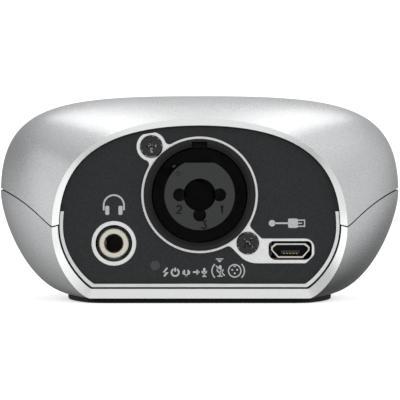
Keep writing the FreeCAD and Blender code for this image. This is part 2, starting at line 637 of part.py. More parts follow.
def build_xlr_contacts():
    """Three split sleeves that grip the pins of a microphone plug."""
    for number, (h, v) in enumerate((("lobe_offset", 0), ("-lobe_offset", 0), (0, "-lobe_offset")), start=1):
        body = place_combo(new_body(f"xlr_contact_{number}"))
        sketch = new_sketch(body, "XZ_Plane", "-(insert_front + lobe_depth + contact_set)")
        circle(sketch, h, v, "contact_radius")
        circle(sketch, h, v, "contact_bore")
        extrude(body, "Pad", sketch, "contact_length", reverse=True)
        clear = new_sketch(body, "XZ_Plane", "-(insert_front + lobe_depth)")
        circle(clear, 0, 0, "jack_bore + bore_relief")
        extrude(body, "Pocket", clear, "contact_length + 2 * contact_set")


def build_combo_block():
    """The block behind the barrel, bored for the plug's tip and slotted for three springs."""
    body = place_combo(new_body("combo_block"))
    sketch = new_sketch(body, "XZ_Plane", "-barrel_back")
    rectangle(sketch, 0, 0, "block_half", "block_half")
    extrude(body, "Pad", sketch, "block_back - barrel_back", reverse=True)
    bore = new_sketch(body, "XZ_Plane", "-barrel_back")
    circle(bore, 0, 0, "jack_bore + bore_relief")
    extrude(body, "Pocket", bore, "block_bore_end - barrel_back")
    middle, reach = "spring_slot_top / 2", "spring_slot_top / 2"
    for h, v, half_h, half_v in ((0, middle, "spring_slot / 2", reach),
                                 (middle, 0, reach, "spring_slot / 2"),
                                 (f"-({middle})", 0, reach, "spring_slot / 2")):
        slot = new_sketch(body, "XZ_Plane", "-spring_slot_front")
        rectangle(slot, h, v, half_h, half_v)
        extrude(body, "Pocket", slot, "spring_slot_back - spring_slot_front")


def spring_leaf(label, radius, thick, width, front, length, bump, bump_rise, bump_back):
    """A leaf spring along Y whose bump reaches inwards; it stands above the bore's axis."""
    body = new_body(label)
    sketch = new_sketch(body, "YZ_Plane")
    rectangle(sketch, f"{front} + {length} / 2", radius, f"{length} / 2", f"{thick} / 2")
    extrude(body, "Pad", sketch, width, symmetric=True)
    nose = new_sketch(body, "YZ_Plane")
    circle(nose, f"{front} + {length} - {bump_back}", f"{radius} - {bump_rise}", bump)
    extrude(body, "Pad", nose, width, symmetric=True)
    return body


def build_combo_springs():
    """Tip, ring and sleeve springs of the 6.35 mm socket, spaced round its bore."""
    for name, degrees in (("tip", 0.0), ("ring", 90.0), ("sleeve", -90.0)):
        body = spring_leaf(f"plug_spring_{name}", "spring_radius", "spring_thick", "spring_width",
                           "spring_front", "spring_length", "bump_radius", "bump_rise", "bump_back")
        place(body, 0, 0, "combo_z", Rotation(Vector(0, 1, 0), degrees))


PIN_SPOTS = [(f"({i} - (pin_count - 1) / 2) * pin_pitch", "pin_y") for i in range(int(value("pin_count")))]
TAIL_SPOTS = [(f"phones_x + {side} * tail_x", spot)
              for side in (-1, 1) for spot in ("tail_front", "tail_back")]


def square_pins(spots, width, low, high, label):
    """Square pins standing at a list of spots."""
    pins = []
    for x, y in ((value(h), value(v)) for h, v in spots):
        pins.append(Part.makeBox(width, width, high - low, Vector(x - width / 2, y - width / 2, low)))
    feature(Part.makeCompound(pins), label)


def build_combo_pins():
    """Solder pins from the block down through the main board."""
    square_pins(PIN_SPOTS, value("pin_width"), value("board_z - pin_tail"), value("combo_z - block_half"),
                "combo_pins")


def build_combo_screws():
    """Two black cross-head screws on the bare ears."""
    screws = []
    front = value("plate_front")
    for side in (-1, 1):
        x, z = side * value("screw_offset"), value("combo_z") - side * value("screw_offset")
        head_top = front - value("screw_head_height")
        head = across(x, z, value("screw_head"), head_top, front)
        rim = [e for e in head.Edges if e.Curve.TypeId == "Part::GeomCircle" and
               abs(e.Curve.Center.y - head_top) < 1e-6]
        head = head.makeFillet(value("screw_round"), rim)
        shank = across(x, z, value("screw_shank"), front, front + value("screw_length"))
        spin = Rotation(Vector(0, 1, 0), value("screw_spin") + value("screw_turn") * side)
        recess = cross_cutter(Vector(0, 0, 0), Vector(0, 1, 0))
        recess.Placement = Placement(Vector(x, head_top, z), spin.multiply(recess.Placement.Rotation))
        screws.append(head.fuse(shank).cut(recess).removeSplitter())
    feature(Part.makeCompound(screws), "combo_screws")


def place_phones(body):
    return place(body, "phones_x", 0, "phones_z")


def build_headphone_socket():
    """Body, plated ferrule and two leaf contacts of the 3.5 mm socket."""
    body = place_phones(new_body("phones_ferrule"))
    sketch = new_sketch(body, "YZ_Plane")
    polygon(sketch, [
        ("ferrule_front", "phones_mouth"), ("ferrule_front", "ferrule_radius - ferrule_ease"),
        ("ferrule_front + ferrule_ease", "ferrule_radius"), ("ferrule_step", "ferrule_radius"),
        ("ferrule_step", "ferrule_neck"), ("ferrule_back", "ferrule_neck"),
        ("ferrule_back", "phones_bore"), ("ferrule_front + mouth_cone", "phones_bore")])
    turn(body, "Revolution", sketch)

    body = place_phones(new_body("phones_body"))
    sketch = new_sketch(body, "XZ_Plane", "-phones_front")
    polygon(sketch, [("-phones_half", "board_top - phones_z"), ("phones_half", "board_top - phones_z"),
                     ("phones_half", "phones_top"), ("-phones_half", "phones_top")])
    extrude(body, "Pad", sketch, "phones_back - phones_front", reverse=True)
    seat = new_sketch(body, "XZ_Plane", "-phones_front")
    circle(seat, 0, 0, "ferrule_neck + seat_play")
    extrude(body, "Pocket", seat, "ferrule_back - phones_front")
    bore = new_sketch(body, "XZ_Plane", "-phones_front")
    circle(bore, 0, 0, "phones_bore + bore_relief")
    extrude(body, "Pocket", bore, "phones_bore_end - phones_front")
    slots = new_sketch(body, "XZ_Plane", "-leaf_slot_front")
    rectangle(slots, 0, 0, "phones_half - slot_skin", "leaf_slot / 2")
    extrude(body, "Pocket", slots, "leaf_slot_back - leaf_slot_front")

    for name, degrees in (("tip", -90.0), ("ring", 90.0)):
        leaf = spring_leaf(f"phones_spring_{name}", "leaf_radius", "leaf_thick", "leaf_width",
                           "leaf_front", "leaf_length", "leaf_bump", "leaf_bump_rise", "leaf_bump_back")
        place(leaf, "phones_x", 0, "phones_z", Rotation(Vector(0, 1, 0), degrees))

    square_pins(TAIL_SPOTS, value("tail_width"), value("board_z - tail_drop"), value("board_top"),
                "phones_tails")


def usb_profile(shrink):
    """Corners of the socket's keyed cross-section, drawn in by a wall."""
    return [("usb_top_half - {0}", "usb_high - {0}"), ("usb_half - {0}", "usb_shoulder - {0} / 2"),
            ("usb_half - {0}", "usb_waist"), ("usb_bottom_half - {0} / 2", "-usb_high + {0}"),
            ("-usb_bottom_half + {0} / 2", "-usb_high + {0}"), ("-usb_half + {0}", "usb_waist"),
            ("-usb_half + {0}", "usb_shoulder - {0} / 2"), ("-usb_top_half + {0}", "usb_high - {0}")]


def build_usb_socket():
    """Folded metal shell, tongue and five contact fingers."""
    body = place(new_body("usb_shell"), "usb_x", 0, "usb_z")
    sketch = new_sketch(body, "XZ_Plane", "-usb_front")
    for shrink in ("0", "usb_wall"):
        polygon(sketch, [(h.format(shrink), v.format(shrink)) for h, v in usb_profile(shrink)])
    extrude(body, "Pad", sketch, "usb_depth", reverse=True)
    back = new_sketch(body, "XZ_Plane", "-(usb_front + usb_depth)")
    polygon(back, [(h.format("0"), v.format("0")) for h, v in usb_profile("0")])
    extrude(body, "Pad", back, "usb_wall", reverse=True)

    body = place(new_body("usb_tongue"), "usb_x", 0, "usb_z")
    sketch = new_sketch(body, "XZ_Plane", "-(usb_front + usb_depth)")
    rectangle(sketch, 0, "tongue_z", "tongue_half", "tongue_thick / 2")
    extrude(body, "Pad", sketch, "usb_depth - tongue_front_set")

    fingers = []
    y0 = value("usb_front + tongue_front_set + finger_set")
    count = int(value("finger_count"))
    for i in range(count):
        x = value("usb_x") + (i - (count - 1) / 2) * value("finger_pitch") - value("finger_width") / 2
        z = value("usb_z + tongue_z - tongue_thick / 2 - finger_thick")
        fingers.append(Part.makeBox(value("finger_width"), value("finger_length"), value("finger_thick"),
                                    Vector(x, y0, z)))
    feature(Part.makeCompound(fingers), "usb_contacts")


def build_supply_lamp():
    """The small lamp beside the legend: a light pipe in the plate and a lamp chip behind it."""
    pipe = primitive("Cylinder", Radius="lamp_radius", Height="lamp_pipe_back - skin_front")
    place(pipe, "lamp_x", "skin_front", "lamp_z", Rotation(Vector(1, 0, 0), -90))
    node(pipe, "lamp_pipe")
    chip = primitive("Box", Length="lamp_width", Width="lamp_depth", Height="lamp_high")
    place(chip, "lamp_x - lamp_width / 2", "board_rear", "board_z - lamp_high")
    node(chip, "supply_lamp")


def build_main_board():
    """The main circuit board and its three screws."""
    body = new_body("main_board")
    sketch = new_sketch(body, "XY_Plane", "board_z")
    rectangle(sketch, 0, "(board_rear + board_front) / 2", "board_half", "(board_front - board_rear) / 2")
    for x, y in BOARD_FIXINGS:
        circle(sketch, x, y, "board_hole")
    for x, y in PIN_SPOTS + TAIL_SPOTS:
        circle(sketch, x, y, "pin_hole")
    slab_feature = extrude(body, "Pad", sketch, "board_thick")
    half = value("board_half")
    corners = edges_where(slab_feature, lambda e: is_along(e, Vector(0, 0, 1)) and
                          abs(abs(e.Vertexes[0].X) - half) < 1e-3)
    dress(body, "Fillet", slab_feature, corners, "board_corner")

    screws = []
    top = value("board_top")
    for x, y in ((value(h), value(v)) for h, v in BOARD_FIXINGS):
        head = upright(x, y, top, top + value("board_screw_height"), value("board_screw_head"))
        shank = upright(x, y, top - value("board_screw_length"), top, value("board_screw_shank"))
        recess = cross_cutter(Vector(x, y, top + value("board_screw_height")), Vector(0, 0, -1))
        screws.append(head.fuse(shank).cut(recess).removeSplitter())
    feature(Part.makeCompound(screws), "board_screws")


def board_box(label, x, y, length, width, height):
    """A box-shaped component centred on a spot of the main board."""
    box = primitive("Box", Length=length, Width=width, Height=height)
    place(box, f"{x} - {length} / 2", f"{y} - {width} / 2", "board_top")
    return node(box, label)


def build_components():
    """Chips, crystal, coil, shield and the row of reservoir capacitors."""
    board_box("codec_chip", "codec_x", "codec_y", "codec_size", "codec_size", "codec_thick")
    board_box("controller_chip", "brain_x", "brain_y", "brain_size", "brain_size", "brain_thick")
    board_box("clock_crystal", "crystal_x", "crystal_y", "crystal_long", "crystal_wide", "crystal_thick")
    for number in range(3):
        spot = f"(can_y + {number} * can_pitch)"
        body = place(new_body(f"capacitor_{number + 1}"), "can_x", spot, "board_top")
        foot = new_sketch(body, "XY_Plane")
        rectangle(foot, 0, 0, "can_foot / 2", "can_foot / 2")
        extrude(body, "Pad", foot, "can_foot_height")
        can = new_sketch(body, "XY_Plane", "can_foot_height")
        circle(can, 0, 0, "can_radius")
        top = extrude(body, "Pad", can, "can_height - can_foot_height")
        high = value("can_height")
        rim = edges_where(top, lambda e: e.Curve.TypeId == "Part::GeomCircle" and
                          abs(e.Curve.Center.z - high) < 1e-6)
        dress(body, "Fillet", top, rim, "can_round")
    body = place(new_body("power_coil"), "coil_x", "coil_y", "board_top")
    base = new_sketch(body, "XY_Plane")
    rectangle(base, 0, 0, "coil_size / 2", "coil_size / 2")
    block = extrude(body, "Pad", base, "coil_height")
    corners = edges_where(block, lambda e: is_along(e, Vector(0, 0, 1)))
    dress(body, "Chamfer", block, corners, "coil_chamfer")
    body = place(new_body("preamp_shield"), "shield_x", "shield_y", "board_top")
    base = new_sketch(body, "XY_Plane")
    rectangle(base, 0, 0, "shield_long / 2", "shield_wide / 2")
    lid = extrude(body, "Pad", base, "shield_height")
    corners = edges_where(lid, lambda e: is_along(e, Vector(0, 0, 1)))
    dress(body, "Fillet", lid, corners, "shield_round")
    hollow = new_sketch(body, "XY_Plane")
    rectangle(hollow, 0, 0, "shield_long / 2 - shield_wall", "shield_wide / 2 - shield_wall")
    extrude(body, "Pocket", hollow, "shield_height - shield_wall", reverse=True)


def build_control_face():
    """Bezel, glass, light guide, circuit board and lamps behind the leaning control face."""
    bezel_out = value("wall + bezel_gap")
    bezel_in = bezel_out + value("bezel_width")
    near, far = value("bezel_set"), value("bezel_set + bezel_thick")
    start = value("swell_y - face_margin")
    bezel = envelope(bezel_out, start).common(face_slab(near, far))
    feature(bezel.cut(envelope(bezel_in, start)), "front_bezel")

    near, far = value("glass_set"), value("glass_set + glass_thick")
    cut_out, cut_in = value("face_cut_out"), value("face_cut_in")
    glass = envelope(bezel_in + value("glass_gap"), start).common(face_slab(near, far))
    for side in (-1, 1):
        glass = glass.cut(key_cylinder(side, value("key_hole"), cut_out, cut_in))
    glass = glass.cut(guide_bar(value("guide_gap"), cut_out, cut_in))
    feature(glass, "front_glass")
    feature(guide_bar(0.0, near, value("guide_deep")), "light_guide")

    near, far = value("face_board_set"), value("face_board_set + face_board_thick")
    board = envelope(value("wall + face_board_inset"), start).common(face_slab(near, far))
    feature(board, "front_board")

    count = int(value("lamp_count"))
    long, wide, thick = value("lamp_chip_long"), value("lamp_chip_wide"), value("lamp_chip_thick")
    for i in range(count):
        u = (i - (count - 1) / 2) * value("lamp_pitch")
        chip = Part.makeBox(long, wide, thick, Vector(-long / 2, -wide / 2, 0))
        chip.Placement = on_face(u, value("guide_v"), value("face_board_set"))
        feature(chip, f"level_lamp_{i + 1}")


def key_cylinder(side, radius, near, far):
    """A cylinder through the control face at one key."""
    rod = Part.makeCylinder(radius, far - near)
    rod.Placement = on_face(side * value("key_x"), value("key_v"), far)
    return rod


def guide_bar(clearance, near, far):
    """The round-ended bar of the light guide."""
    half, high = value("guide_half") + clearance, value("guide_high") + clearance
    bar = Part.makeBox(2 * half, 2 * high, far - near, Vector(-half, -high, 0))
    ends = [e for e in bar.Edges if is_along(e, Vector(0, 0, 1))]
    bar = bar.makeFillet(high * value("guide_round"), ends)
    bar.Placement = on_face(0, value("guide_v"), far)
    return bar


def build_keys():
    """Two push keys over their switches; each key's own Z axis points out of the face."""
    for label, side in (("mute_key", -1), ("select_key", 1)):
        body = new_body(label)
        sketch = new_sketch(body, "XZ_Plane")
        polygon(sketch, [
            (0, "-key_stem_end"), ("key_stem", "-key_stem_end"),
            ("key_stem", "-key_flange_set - key_flange_thick"),
            ("key_flange", "-key_flange_set - key_flange_thick"), ("key_flange", "-key_flange_set"),
            ("key_radius", "-key_flange_set"), ("key_radius", "key_proud - key_edge"),
            ("key_radius - key_edge", "key_proud"),
            ("key_radius * dish_near", "key_proud - key_dish * dish_mid"),
            (0, "key_proud - key_dish")])
        feature_turn = body.newObject("PartDesign::Revolution", "Revolution")
        feature_turn.Profile = sketch
        feature_turn.ReferenceAxis = (sketch, ["V_Axis"])
        feature_turn.Angle = 360.0
        body.Placement = on_face(side * value("key_x"), value("key_v"), 0)
    for label, side in (("mute_switch", -1), ("select_switch", 1)):
        body = new_body(label)
        base = new_sketch(body, "XY_Plane", "-face_board_set")
        rectangle(base, 0, 0, "switch_size / 2", "switch_size / 2")
        extrude(body, "Pad", base, "switch_thick")
        dome = new_sketch(body, "XY_Plane", "switch_thick - face_board_set")
        circle(dome, 0, 0, "dome_radius")
        extrude(body, "Pad", dome, "dome_rise")
        body.Placement = on_face(side * value("key_x"), value("key_v"), 0)


def build_cable():
    """The flat cable and its two sockets, on the main board and on the back of the front board."""
    board_box("cable_socket_main", 0, "plug_y", "plug_wide", "plug_deep", "plug_high")
    wide, deep, high = value("plug_wide"), value("plug_deep"), value("plug_high")
    behind = value("face_board_set + face_board_thick")
    socket = Part.makeBox(wide, deep, high, Vector(-wide / 2, -deep / 2, 0))
    socket.Placement = on_face(0, value("plug_v"), behind + high)
    feature(socket, "cable_socket_front")

    thick, width = value("cable_thick"), value("cable_width")
    start = Vector(0, value("plug_y + plug_deep / 2"), value("board_top + plug_high / 2"))
    end = on_face(0, value("plug_v - plug_deep / 2"), behind + high / 2).Base
    path = bezier_edge([start, start + Vector(0, value("cable_run_main"), 0),
                        end - FACE_UP * value("cable_run_front"), end])
    section = Part.makePolygon([start + Vector(x, 0, z) for x, z in (
        (-width / 2, -thick / 2), (width / 2, -thick / 2), (width / 2, thick / 2),
        (-width / 2, thick / 2), (-width / 2, -thick / 2))])
    feature(Part.Wire([path]).makePipeShell([section], True, False), "flat_cable")


def check_and_write():
    """Stop on any failed object or bad shape, then write one file per sub-part."""
    doc.recompute()
    faults = [f"{o.Name} ({o.Label}): {o.State}" for o in doc.Objects
              if "Invalid" in o.State or "Error" in o.State]
    for part in NODES:
        shape = part.Shape
        if shape.isNull() or not shape.isValid() or shape.Volume <= 0:
            faults.append(f"{part.Label}: bad shape")
    if faults:
        print("\n".join(faults))
        sys.exit(1)
    os.makedirs("parts", exist_ok=True)
    for part in NODES:
        part.Shape.exportStep(os.path.join("parts", f"{part.Label}.step"))
        box = part.Shape.BoundBox
        print(f"{part.Label}: {box.XLength:.1f} x {box.YLength:.1f} x {box.ZLength:.1f}, "
              f"{len(part.Shape.Solids)} solid(s), {part.Shape.Volume:.1f} mm3")


build_shells()
build_panel()
build_base()
build_combo_housing()
build_combo_insert()
build_xlr_contacts()
build_combo_block()
build_combo_springs()
build_combo_pins()
build_combo_screws()
build_headphone_socket()
build_usb_socket()
build_supply_lamp()
build_main_board()
build_components()
build_control_face()
build_keys()
build_cable()
check_and_write()
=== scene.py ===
import logging
import math
from dataclasses import dataclass, field
from enum import Enum
from typing import Sequence, Union

import bmesh
import bpy
from mathutils import Matrix, Vector


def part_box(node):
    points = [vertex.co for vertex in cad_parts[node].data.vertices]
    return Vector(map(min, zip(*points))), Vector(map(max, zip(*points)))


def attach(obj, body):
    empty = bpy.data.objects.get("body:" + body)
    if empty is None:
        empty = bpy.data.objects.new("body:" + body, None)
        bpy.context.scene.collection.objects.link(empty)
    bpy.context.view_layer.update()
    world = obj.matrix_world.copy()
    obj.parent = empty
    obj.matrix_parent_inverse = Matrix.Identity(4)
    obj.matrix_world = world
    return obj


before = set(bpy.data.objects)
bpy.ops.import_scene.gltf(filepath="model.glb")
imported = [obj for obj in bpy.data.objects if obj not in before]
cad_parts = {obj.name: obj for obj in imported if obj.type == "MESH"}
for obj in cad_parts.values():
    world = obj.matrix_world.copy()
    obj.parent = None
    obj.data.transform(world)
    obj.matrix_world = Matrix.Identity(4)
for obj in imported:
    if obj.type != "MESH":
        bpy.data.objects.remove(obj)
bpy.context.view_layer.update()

LOG = logging.getLogger("interface")
MM = 0.001
ROOT_BODY = "housing"
NOISE_MIDDLE = 0.5
PAPER_TONES = ((0.93, 0.93, 0.93), (0.96, 0.96, 0.96))
PAPER_GLOW = 0.5

Point = tuple[float, float]
Colour = tuple[float, float, float]
Loop = list[Point]
Input = Union["Signal", float, Sequence[float]]


# Shader building

class Signal:
    """A shader socket that takes part in Python expressions."""

    def __init__(self, graph: "Graph", socket: bpy.types.NodeSocket) -> None:
        """Wrap a socket.

        Args:
            graph: the graph that the socket belongs to.
            socket: the output socket.
        """
        self.graph = graph
        self.socket = socket

    def _math(self, operation: str, first: Input, second: Input) -> "Signal":
        """Add one Math node.

        Args:
            operation: the node's operation.
            first: the left value.
            second: the right value.

        Returns:
            The result as a signal.
        """
        return self.graph.add("ShaderNodeMath", {"operation": operation}, {0: first, 1: second})

    def __add__(self, other: Input) -> "Signal":
        """Sum with a number or a signal."""
        return self._math("ADD", self, other)

    __radd__ = __add__

    def __sub__(self, other: Input) -> "Signal":
        """Difference from a number or a signal."""
        return self._math("SUBTRACT", self, other)

    def __rsub__(self, other: Input) -> "Signal":
        """A number less this signal."""
        return self._math("SUBTRACT", other, self)

    def __mul__(self, other: Input) -> "Signal":
        """Product with a number or a signal."""
        return self._math("MULTIPLY", self, other)

    __rmul__ = __mul__

    def __lt__(self, other: Input) -> "Signal":
        """1 where this signal is below the other."""
        return self._math("LESS_THAN", self, other)

    def __gt__(self, other: Input) -> "Signal":
        """1 where this signal is above the other."""
        return self._math("GREATER_THAN", self, other)

    def __abs__(self) -> "Signal":
        """The size of the signal without its sign."""
        return self._math("ABSOLUTE", self, 0.0)

    def __pow__(self, other: Input) -> "Signal":
        """This signal raised to a power."""
        return self._math("POWER", self, other)

    def __rpow__(self, other: Input) -> "Signal":
        """A number raised to this signal."""
        return self._math("POWER", other, self)

    def rise(self, low: float, high: float) -> "Signal":
        """A smooth step from 0 to 1.

        Args:
            low: the value where the step begins.
            high: the value where it is complete.

        Returns:
            The step as a signal.
        """
        return self.graph.add("ShaderNodeMapRange", {"interpolation_type": "SMOOTHSTEP"},
                              {"Value": self, "From Min": low, "From Max": high})

    def swing(self, amount: float) -> "Signal":
        """A noise about its middle, turned into a swing about 0.

        Args:
            amount: the whole width of the swing.

        Returns:
            The swing as a signal.
        """
        return (self - NOISE_MIDDLE) * amount


class Graph:
    """One node tree, built through a single method."""

    def __init__(self, tree: bpy.types.NodeTree) -> None:
        """Empty a node tree.

        Args:
            tree: the tree of a material or of the world.
        """
        self.tree = tree
        tree.nodes.clear()

    def add(self, kind: str, settings: dict | None = None, inputs: dict | None = None,
            output: int | str = 0) -> Signal:
        """Add one node.

        Args:
            kind: the node's type.
            settings: properties of the node, set before anything else.
            inputs: socket values or signals, by name or number.
            output: the output wanted.

        Returns:
            That output as a signal.
        """
        node = self.tree.nodes.new(kind)
        for name, setting in (settings or {}).items():
            setattr(node, name, setting)
        for name, value in (inputs or {}).items():
            if isinstance(value, Signal):
                self.tree.links.new(value.socket, node.inputs[name])
            else:
                node.inputs[name].default_value = value
        return Signal(self, node.outputs[output] if node.outputs else None)

    def place(self) -> Signal:
        """The surface point in the part's own frame, in millimetres."""
        point = self.add("ShaderNodeTexCoord", output="Object")
        return self.add("ShaderNodeVectorMath", {"operation": "SCALE"}, {0: point, "Scale": 1 / MM})

    def axes(self, vector: Signal) -> tuple[Signal, Signal, Signal]:
        """Split a vector.

        Args:
            vector: the vector signal.

        Returns:
            Its three numbers.
        """
        first = self.add("ShaderNodeSeparateXYZ", None, {0: vector})
        return tuple(Signal(self, socket) for socket in first.socket.node.outputs)

    def stretched(self, vector: Signal, factors: Sequence[float]) -> Signal:
        """Scale a vector axis by axis.

        Args:
            vector: the vector signal.
            factors: one factor for each axis.

        Returns:
            The scaled vector.
        """
        return self.add("ShaderNodeVectorMath", {"operation": "MULTIPLY"}, {0: vector, 1: factors})

    def noise(self, vector: Signal, per_mm: float, detail: float = 2.0, roughness: float = 0.5) -> Signal:
        """Smooth noise.

        Args:
            vector: the place it follows.
            per_mm: waves per millimetre.
            detail: octaves of finer noise.
            roughness: the share that each octave keeps.

        Returns:
            The noise, about 0.5.
        """
        return self.add("ShaderNodeTexNoise", None,
                        {"Vector": vector, "Scale": per_mm, "Detail": detail, "Roughness": roughness})

    def mix(self, factor: Input, first: Input, second: Input) -> Signal:
        """Blend two colours.

        Args:
            factor: share of the second colour.
            first: the colour at 0.
            second: the colour at 1.

        Returns:
            The blended colour.
        """
        colours = [(*c, 1.0) if isinstance(c, tuple) and len(c) == 3 else c for c in (first, second)]
        return self.add("ShaderNodeMix", {"data_type": "RGBA"}, {0: factor, 6: colours[0], 7: colours[1]}, 2)

    def bump(self, height: Signal, depth_mm: float, strength: float = 1.0) -> Signal:
        """A bumped normal.

        Args:
            height: relief between 0 and 1.
            depth_mm: what 1 stands for.
            strength: share of the relief that shows.

        Returns:
            The normal.
        """
        return self.add("ShaderNodeBump", None,
                        {"Strength": strength, "Distance": depth_mm * MM, "Height": height})

    def close(self, sockets: dict) -> None:
        """Finish the tree with a Principled surface.

        Args:
            sockets: values and signals for the surface's sockets.
        """
        ready = {k: (*v, 1.0) if isinstance(v, tuple) and len(v) == 3 else v for k, v in sockets.items()}
        surface = self.add("ShaderNodeBsdfPrincipled", None, ready)
        self.add("ShaderNodeOutputMaterial", None, {"Surface": surface})


def shaded(colour: Colour, factor: float) -> Colour:
    """A colour made darker or lighter.

    Args:
        colour: linear red, green and blue.
        factor: what they are multiplied by.

    Returns:
        The new colour.
    """
    return tuple(min(1.0, c * factor) for c in colour)


# Finishes

class Grain(Enum):
    """Which way the fine lines of a worked metal run."""

    ROLLED = (0.06, 1.0, 1.0)
    DRAWN = (1.0, 0.06, 1.0)
    TUMBLED = (1.0, 1.0, 1.0)


@dataclass(frozen=True)
class Finish:
    """What every finish shares."""

    name: str
    colour: Colour

    def material(self) -> bpy.types.Material:
        """The finish as a material, made once.

        Returns:
            The material.
        """
        found = bpy.data.materials.get(self.name)
        if found:
            return found
        made = bpy.data.materials.new(self.name)
        made.use_nodes = True
        made.diffuse_color = (*self.colour, 1.0)
        self.shade(Graph(made.node_tree))
        return made

    def shade(self, graph: Graph) -> None:
        """Fill the graph.

        Args:
            graph: the material's empty graph.
        """
        raise NotImplementedError


@dataclass(frozen=True)
class BlastedShell(Finish):
    """Silver housing metal: fine blasted grain, with a smooth bevel round the connector opening."""

    bevel_colour: Colour = (0.86, 0.87, 0.87)
    roughness: float = 0.29
    bevel_roughness: float = 0.24
    bevel_front: float = -33.9
    middle_height: float = 17.0

    def shade(self, graph: Graph) -> None:
        """Fill the graph.

        Args:
            graph: the material's empty graph.
        """
        place = graph.place()
        x, y, z = graph.axes(place)
        normal = graph.add("ShaderNodeTexCoord", output="Normal")
        nx, ny, nz = graph.axes(normal)
        inward = ((x * nx + (z - self.middle_height) * nz) < 0.0) * (ny < -0.2)
        bevel = inward * (y < self.bevel_front)
        grain = graph.noise(place, 3.6, 3.0, 0.7)
        fleck = graph.noise(place, 6.5, 1.0)
        cloud = graph.noise(place, 0.09, 2.0)
        tone = graph.mix(grain.rise(0.30, 0.72), shaded(self.colour, 0.80), shaded(self.colour, 1.12))
        tone = graph.mix(fleck.rise(0.62, 0.74) * 0.6, tone, shaded(self.colour, 1.35))
        tone = graph.mix(cloud.rise(0.35, 0.7) * 0.22, tone, shaded(self.colour, 0.88))
        tone = graph.mix(bevel, tone, self.bevel_colour)
        rough = grain.swing(0.16) + cloud.swing(0.06) + self.roughness
        rough = rough + bevel * (self.bevel_roughness - self.roughness)
        relief = grain * 0.7 + fleck * 0.3
        plain = 1.0 - bevel * 0.9
        graph.close({
            "Base Color": tone, "Metallic": 0.93, "Roughness": rough,
            "Normal": graph.bump(relief * plain, 0.022, 0.6)})


@dataclass(frozen=True)
class WorkedMetal(Finish):
    """Bare or plated metal with fine lines, tarnish and small scratches."""

    roughness: float = 0.3
    grain: Grain = Grain.TUMBLED
    per_mm: float = 3.0
    relief: float = 0.006
    tarnish: float = 0.12
    metallic: float = 1.0

    def wear_and_glint(self, graph: Graph, place: Signal) -> tuple[Signal, Signal, Signal]:
        """The lines, the tarnish and the colour that they give.

        Args:
            graph: the material's graph.
            place: the surface point.

        Returns:
            The lines, the stain and the tone.
        """
        lines = graph.noise(graph.stretched(place, self.grain.value), self.per_mm, 3.0, 0.65)
        stain = graph.noise(place, 0.35, 3.0, 0.6)
        tone = graph.mix(lines.rise(0.3, 0.7), shaded(self.colour, 0.93), shaded(self.colour, 1.05))
        tone = graph.mix(stain.rise(0.45, 0.75) * self.tarnish, tone, shaded(self.colour, 0.6))
        return lines, stain, tone

    def shade(self, graph: Graph) -> None:
        """Fill the graph.

        Args:
            graph: the material's empty graph.
        """
        lines, stain, tone = self.wear_and_glint(graph, graph.place())
        rough = lines.swing(0.22) + stain.rise(0.4, 0.8) * 0.08 + self.roughness
        graph.close({
            "Base Color": tone, "Metallic": self.metallic, "Roughness": rough,
            "Normal": graph.bump(lines, self.relief)})


@dataclass(frozen=True)
class PlateMetal(WorkedMetal):
    """Bare connector plate, with painted shade: the margin outside the skin's outline, in the gaps round the
    panel, is coloured dark and made dull.
    """

    painted_gap_shade: Colour = (0.012, 0.013, 0.0135)
    half: float = 26.9
    middle_height: float = 15.5
    above: float = 19.55
    below: float = 11.6
    squareness: float = 2.6

    def shade(self, graph: Graph) -> None:
        """Fill the graph.

        Args:
            graph: the material's empty graph.
        """
        place = graph.place()
        x, _, z = graph.axes(place)
        rise = z - self.middle_height
        upper = rise > 0.0
        tall = upper * (1 / self.above - 1 / self.below) + 1 / self.below
        reach = (abs(x) * (1 / self.half)) ** self.squareness + abs(rise * tall) ** self.squareness
        # painted shade: outside the skin's outline the plate takes a dark, non-metallic colour where the
        # gaps round the panel lie in shade
        gap_shade_mask = reach > 1.0
        lines, _, tone = self.wear_and_glint(graph, place)
        tone = graph.mix(gap_shade_mask, tone, self.painted_gap_shade)
        graph.close({
            "Base Color": tone, "Metallic": (1.0 - gap_shade_mask) * self.metallic,
            "Roughness": lines.swing(0.22) + gap_shade_mask * 0.3 + self.roughness,
            "Normal": graph.bump(lines, self.relief)})


@dataclass(frozen=True)
class CrossScrew(Finish):
    """Blackened screw: glossy head, with painted shade darkening its cross recess and painted glints as
    bright metal flecks in it.
    """

    # painted glint: colour of the bright flecks in the cross recess
    wear_and_glint: Colour = (0.34, 0.34, 0.35)
    face: float = -33.1
    recess: float = 0.7
    skin: float = 0.04
    roughness: float = 0.2

    def shade(self, graph: Graph) -> None:
        """Fill the graph.

        Args:
            graph: the material's empty graph.
        """
        place = graph.place()
        _, y, _ = graph.axes(place)
        sunk = y > self.face + self.skin
        scuff = graph.noise(place, 4.5, 3.0, 0.65)
        # painted glints: bright metal flecks in the recess stand in for highlights
        wear_and_glint = sunk * (y < self.face + self.recess) * graph.noise(place, 1.7, 1.0).rise(0.52, 0.6)
        tone = graph.mix(scuff.rise(0.3, 0.75), shaded(self.colour, 0.7), shaded(self.colour, 1.5))
        # painted shade: the sunk cross recess is darkened to a tenth of the head's colour
        tone = graph.mix(sunk * 0.9, tone, shaded(self.colour, 0.1))
        tone = graph.mix(wear_and_glint, tone, self.wear_and_glint)
        graph.close({
            "Base Color": tone, "Metallic": wear_and_glint * 0.5 + 0.4,
            "Roughness": scuff.swing(0.2) + self.roughness, "Normal": graph.bump(scuff, 0.012)})


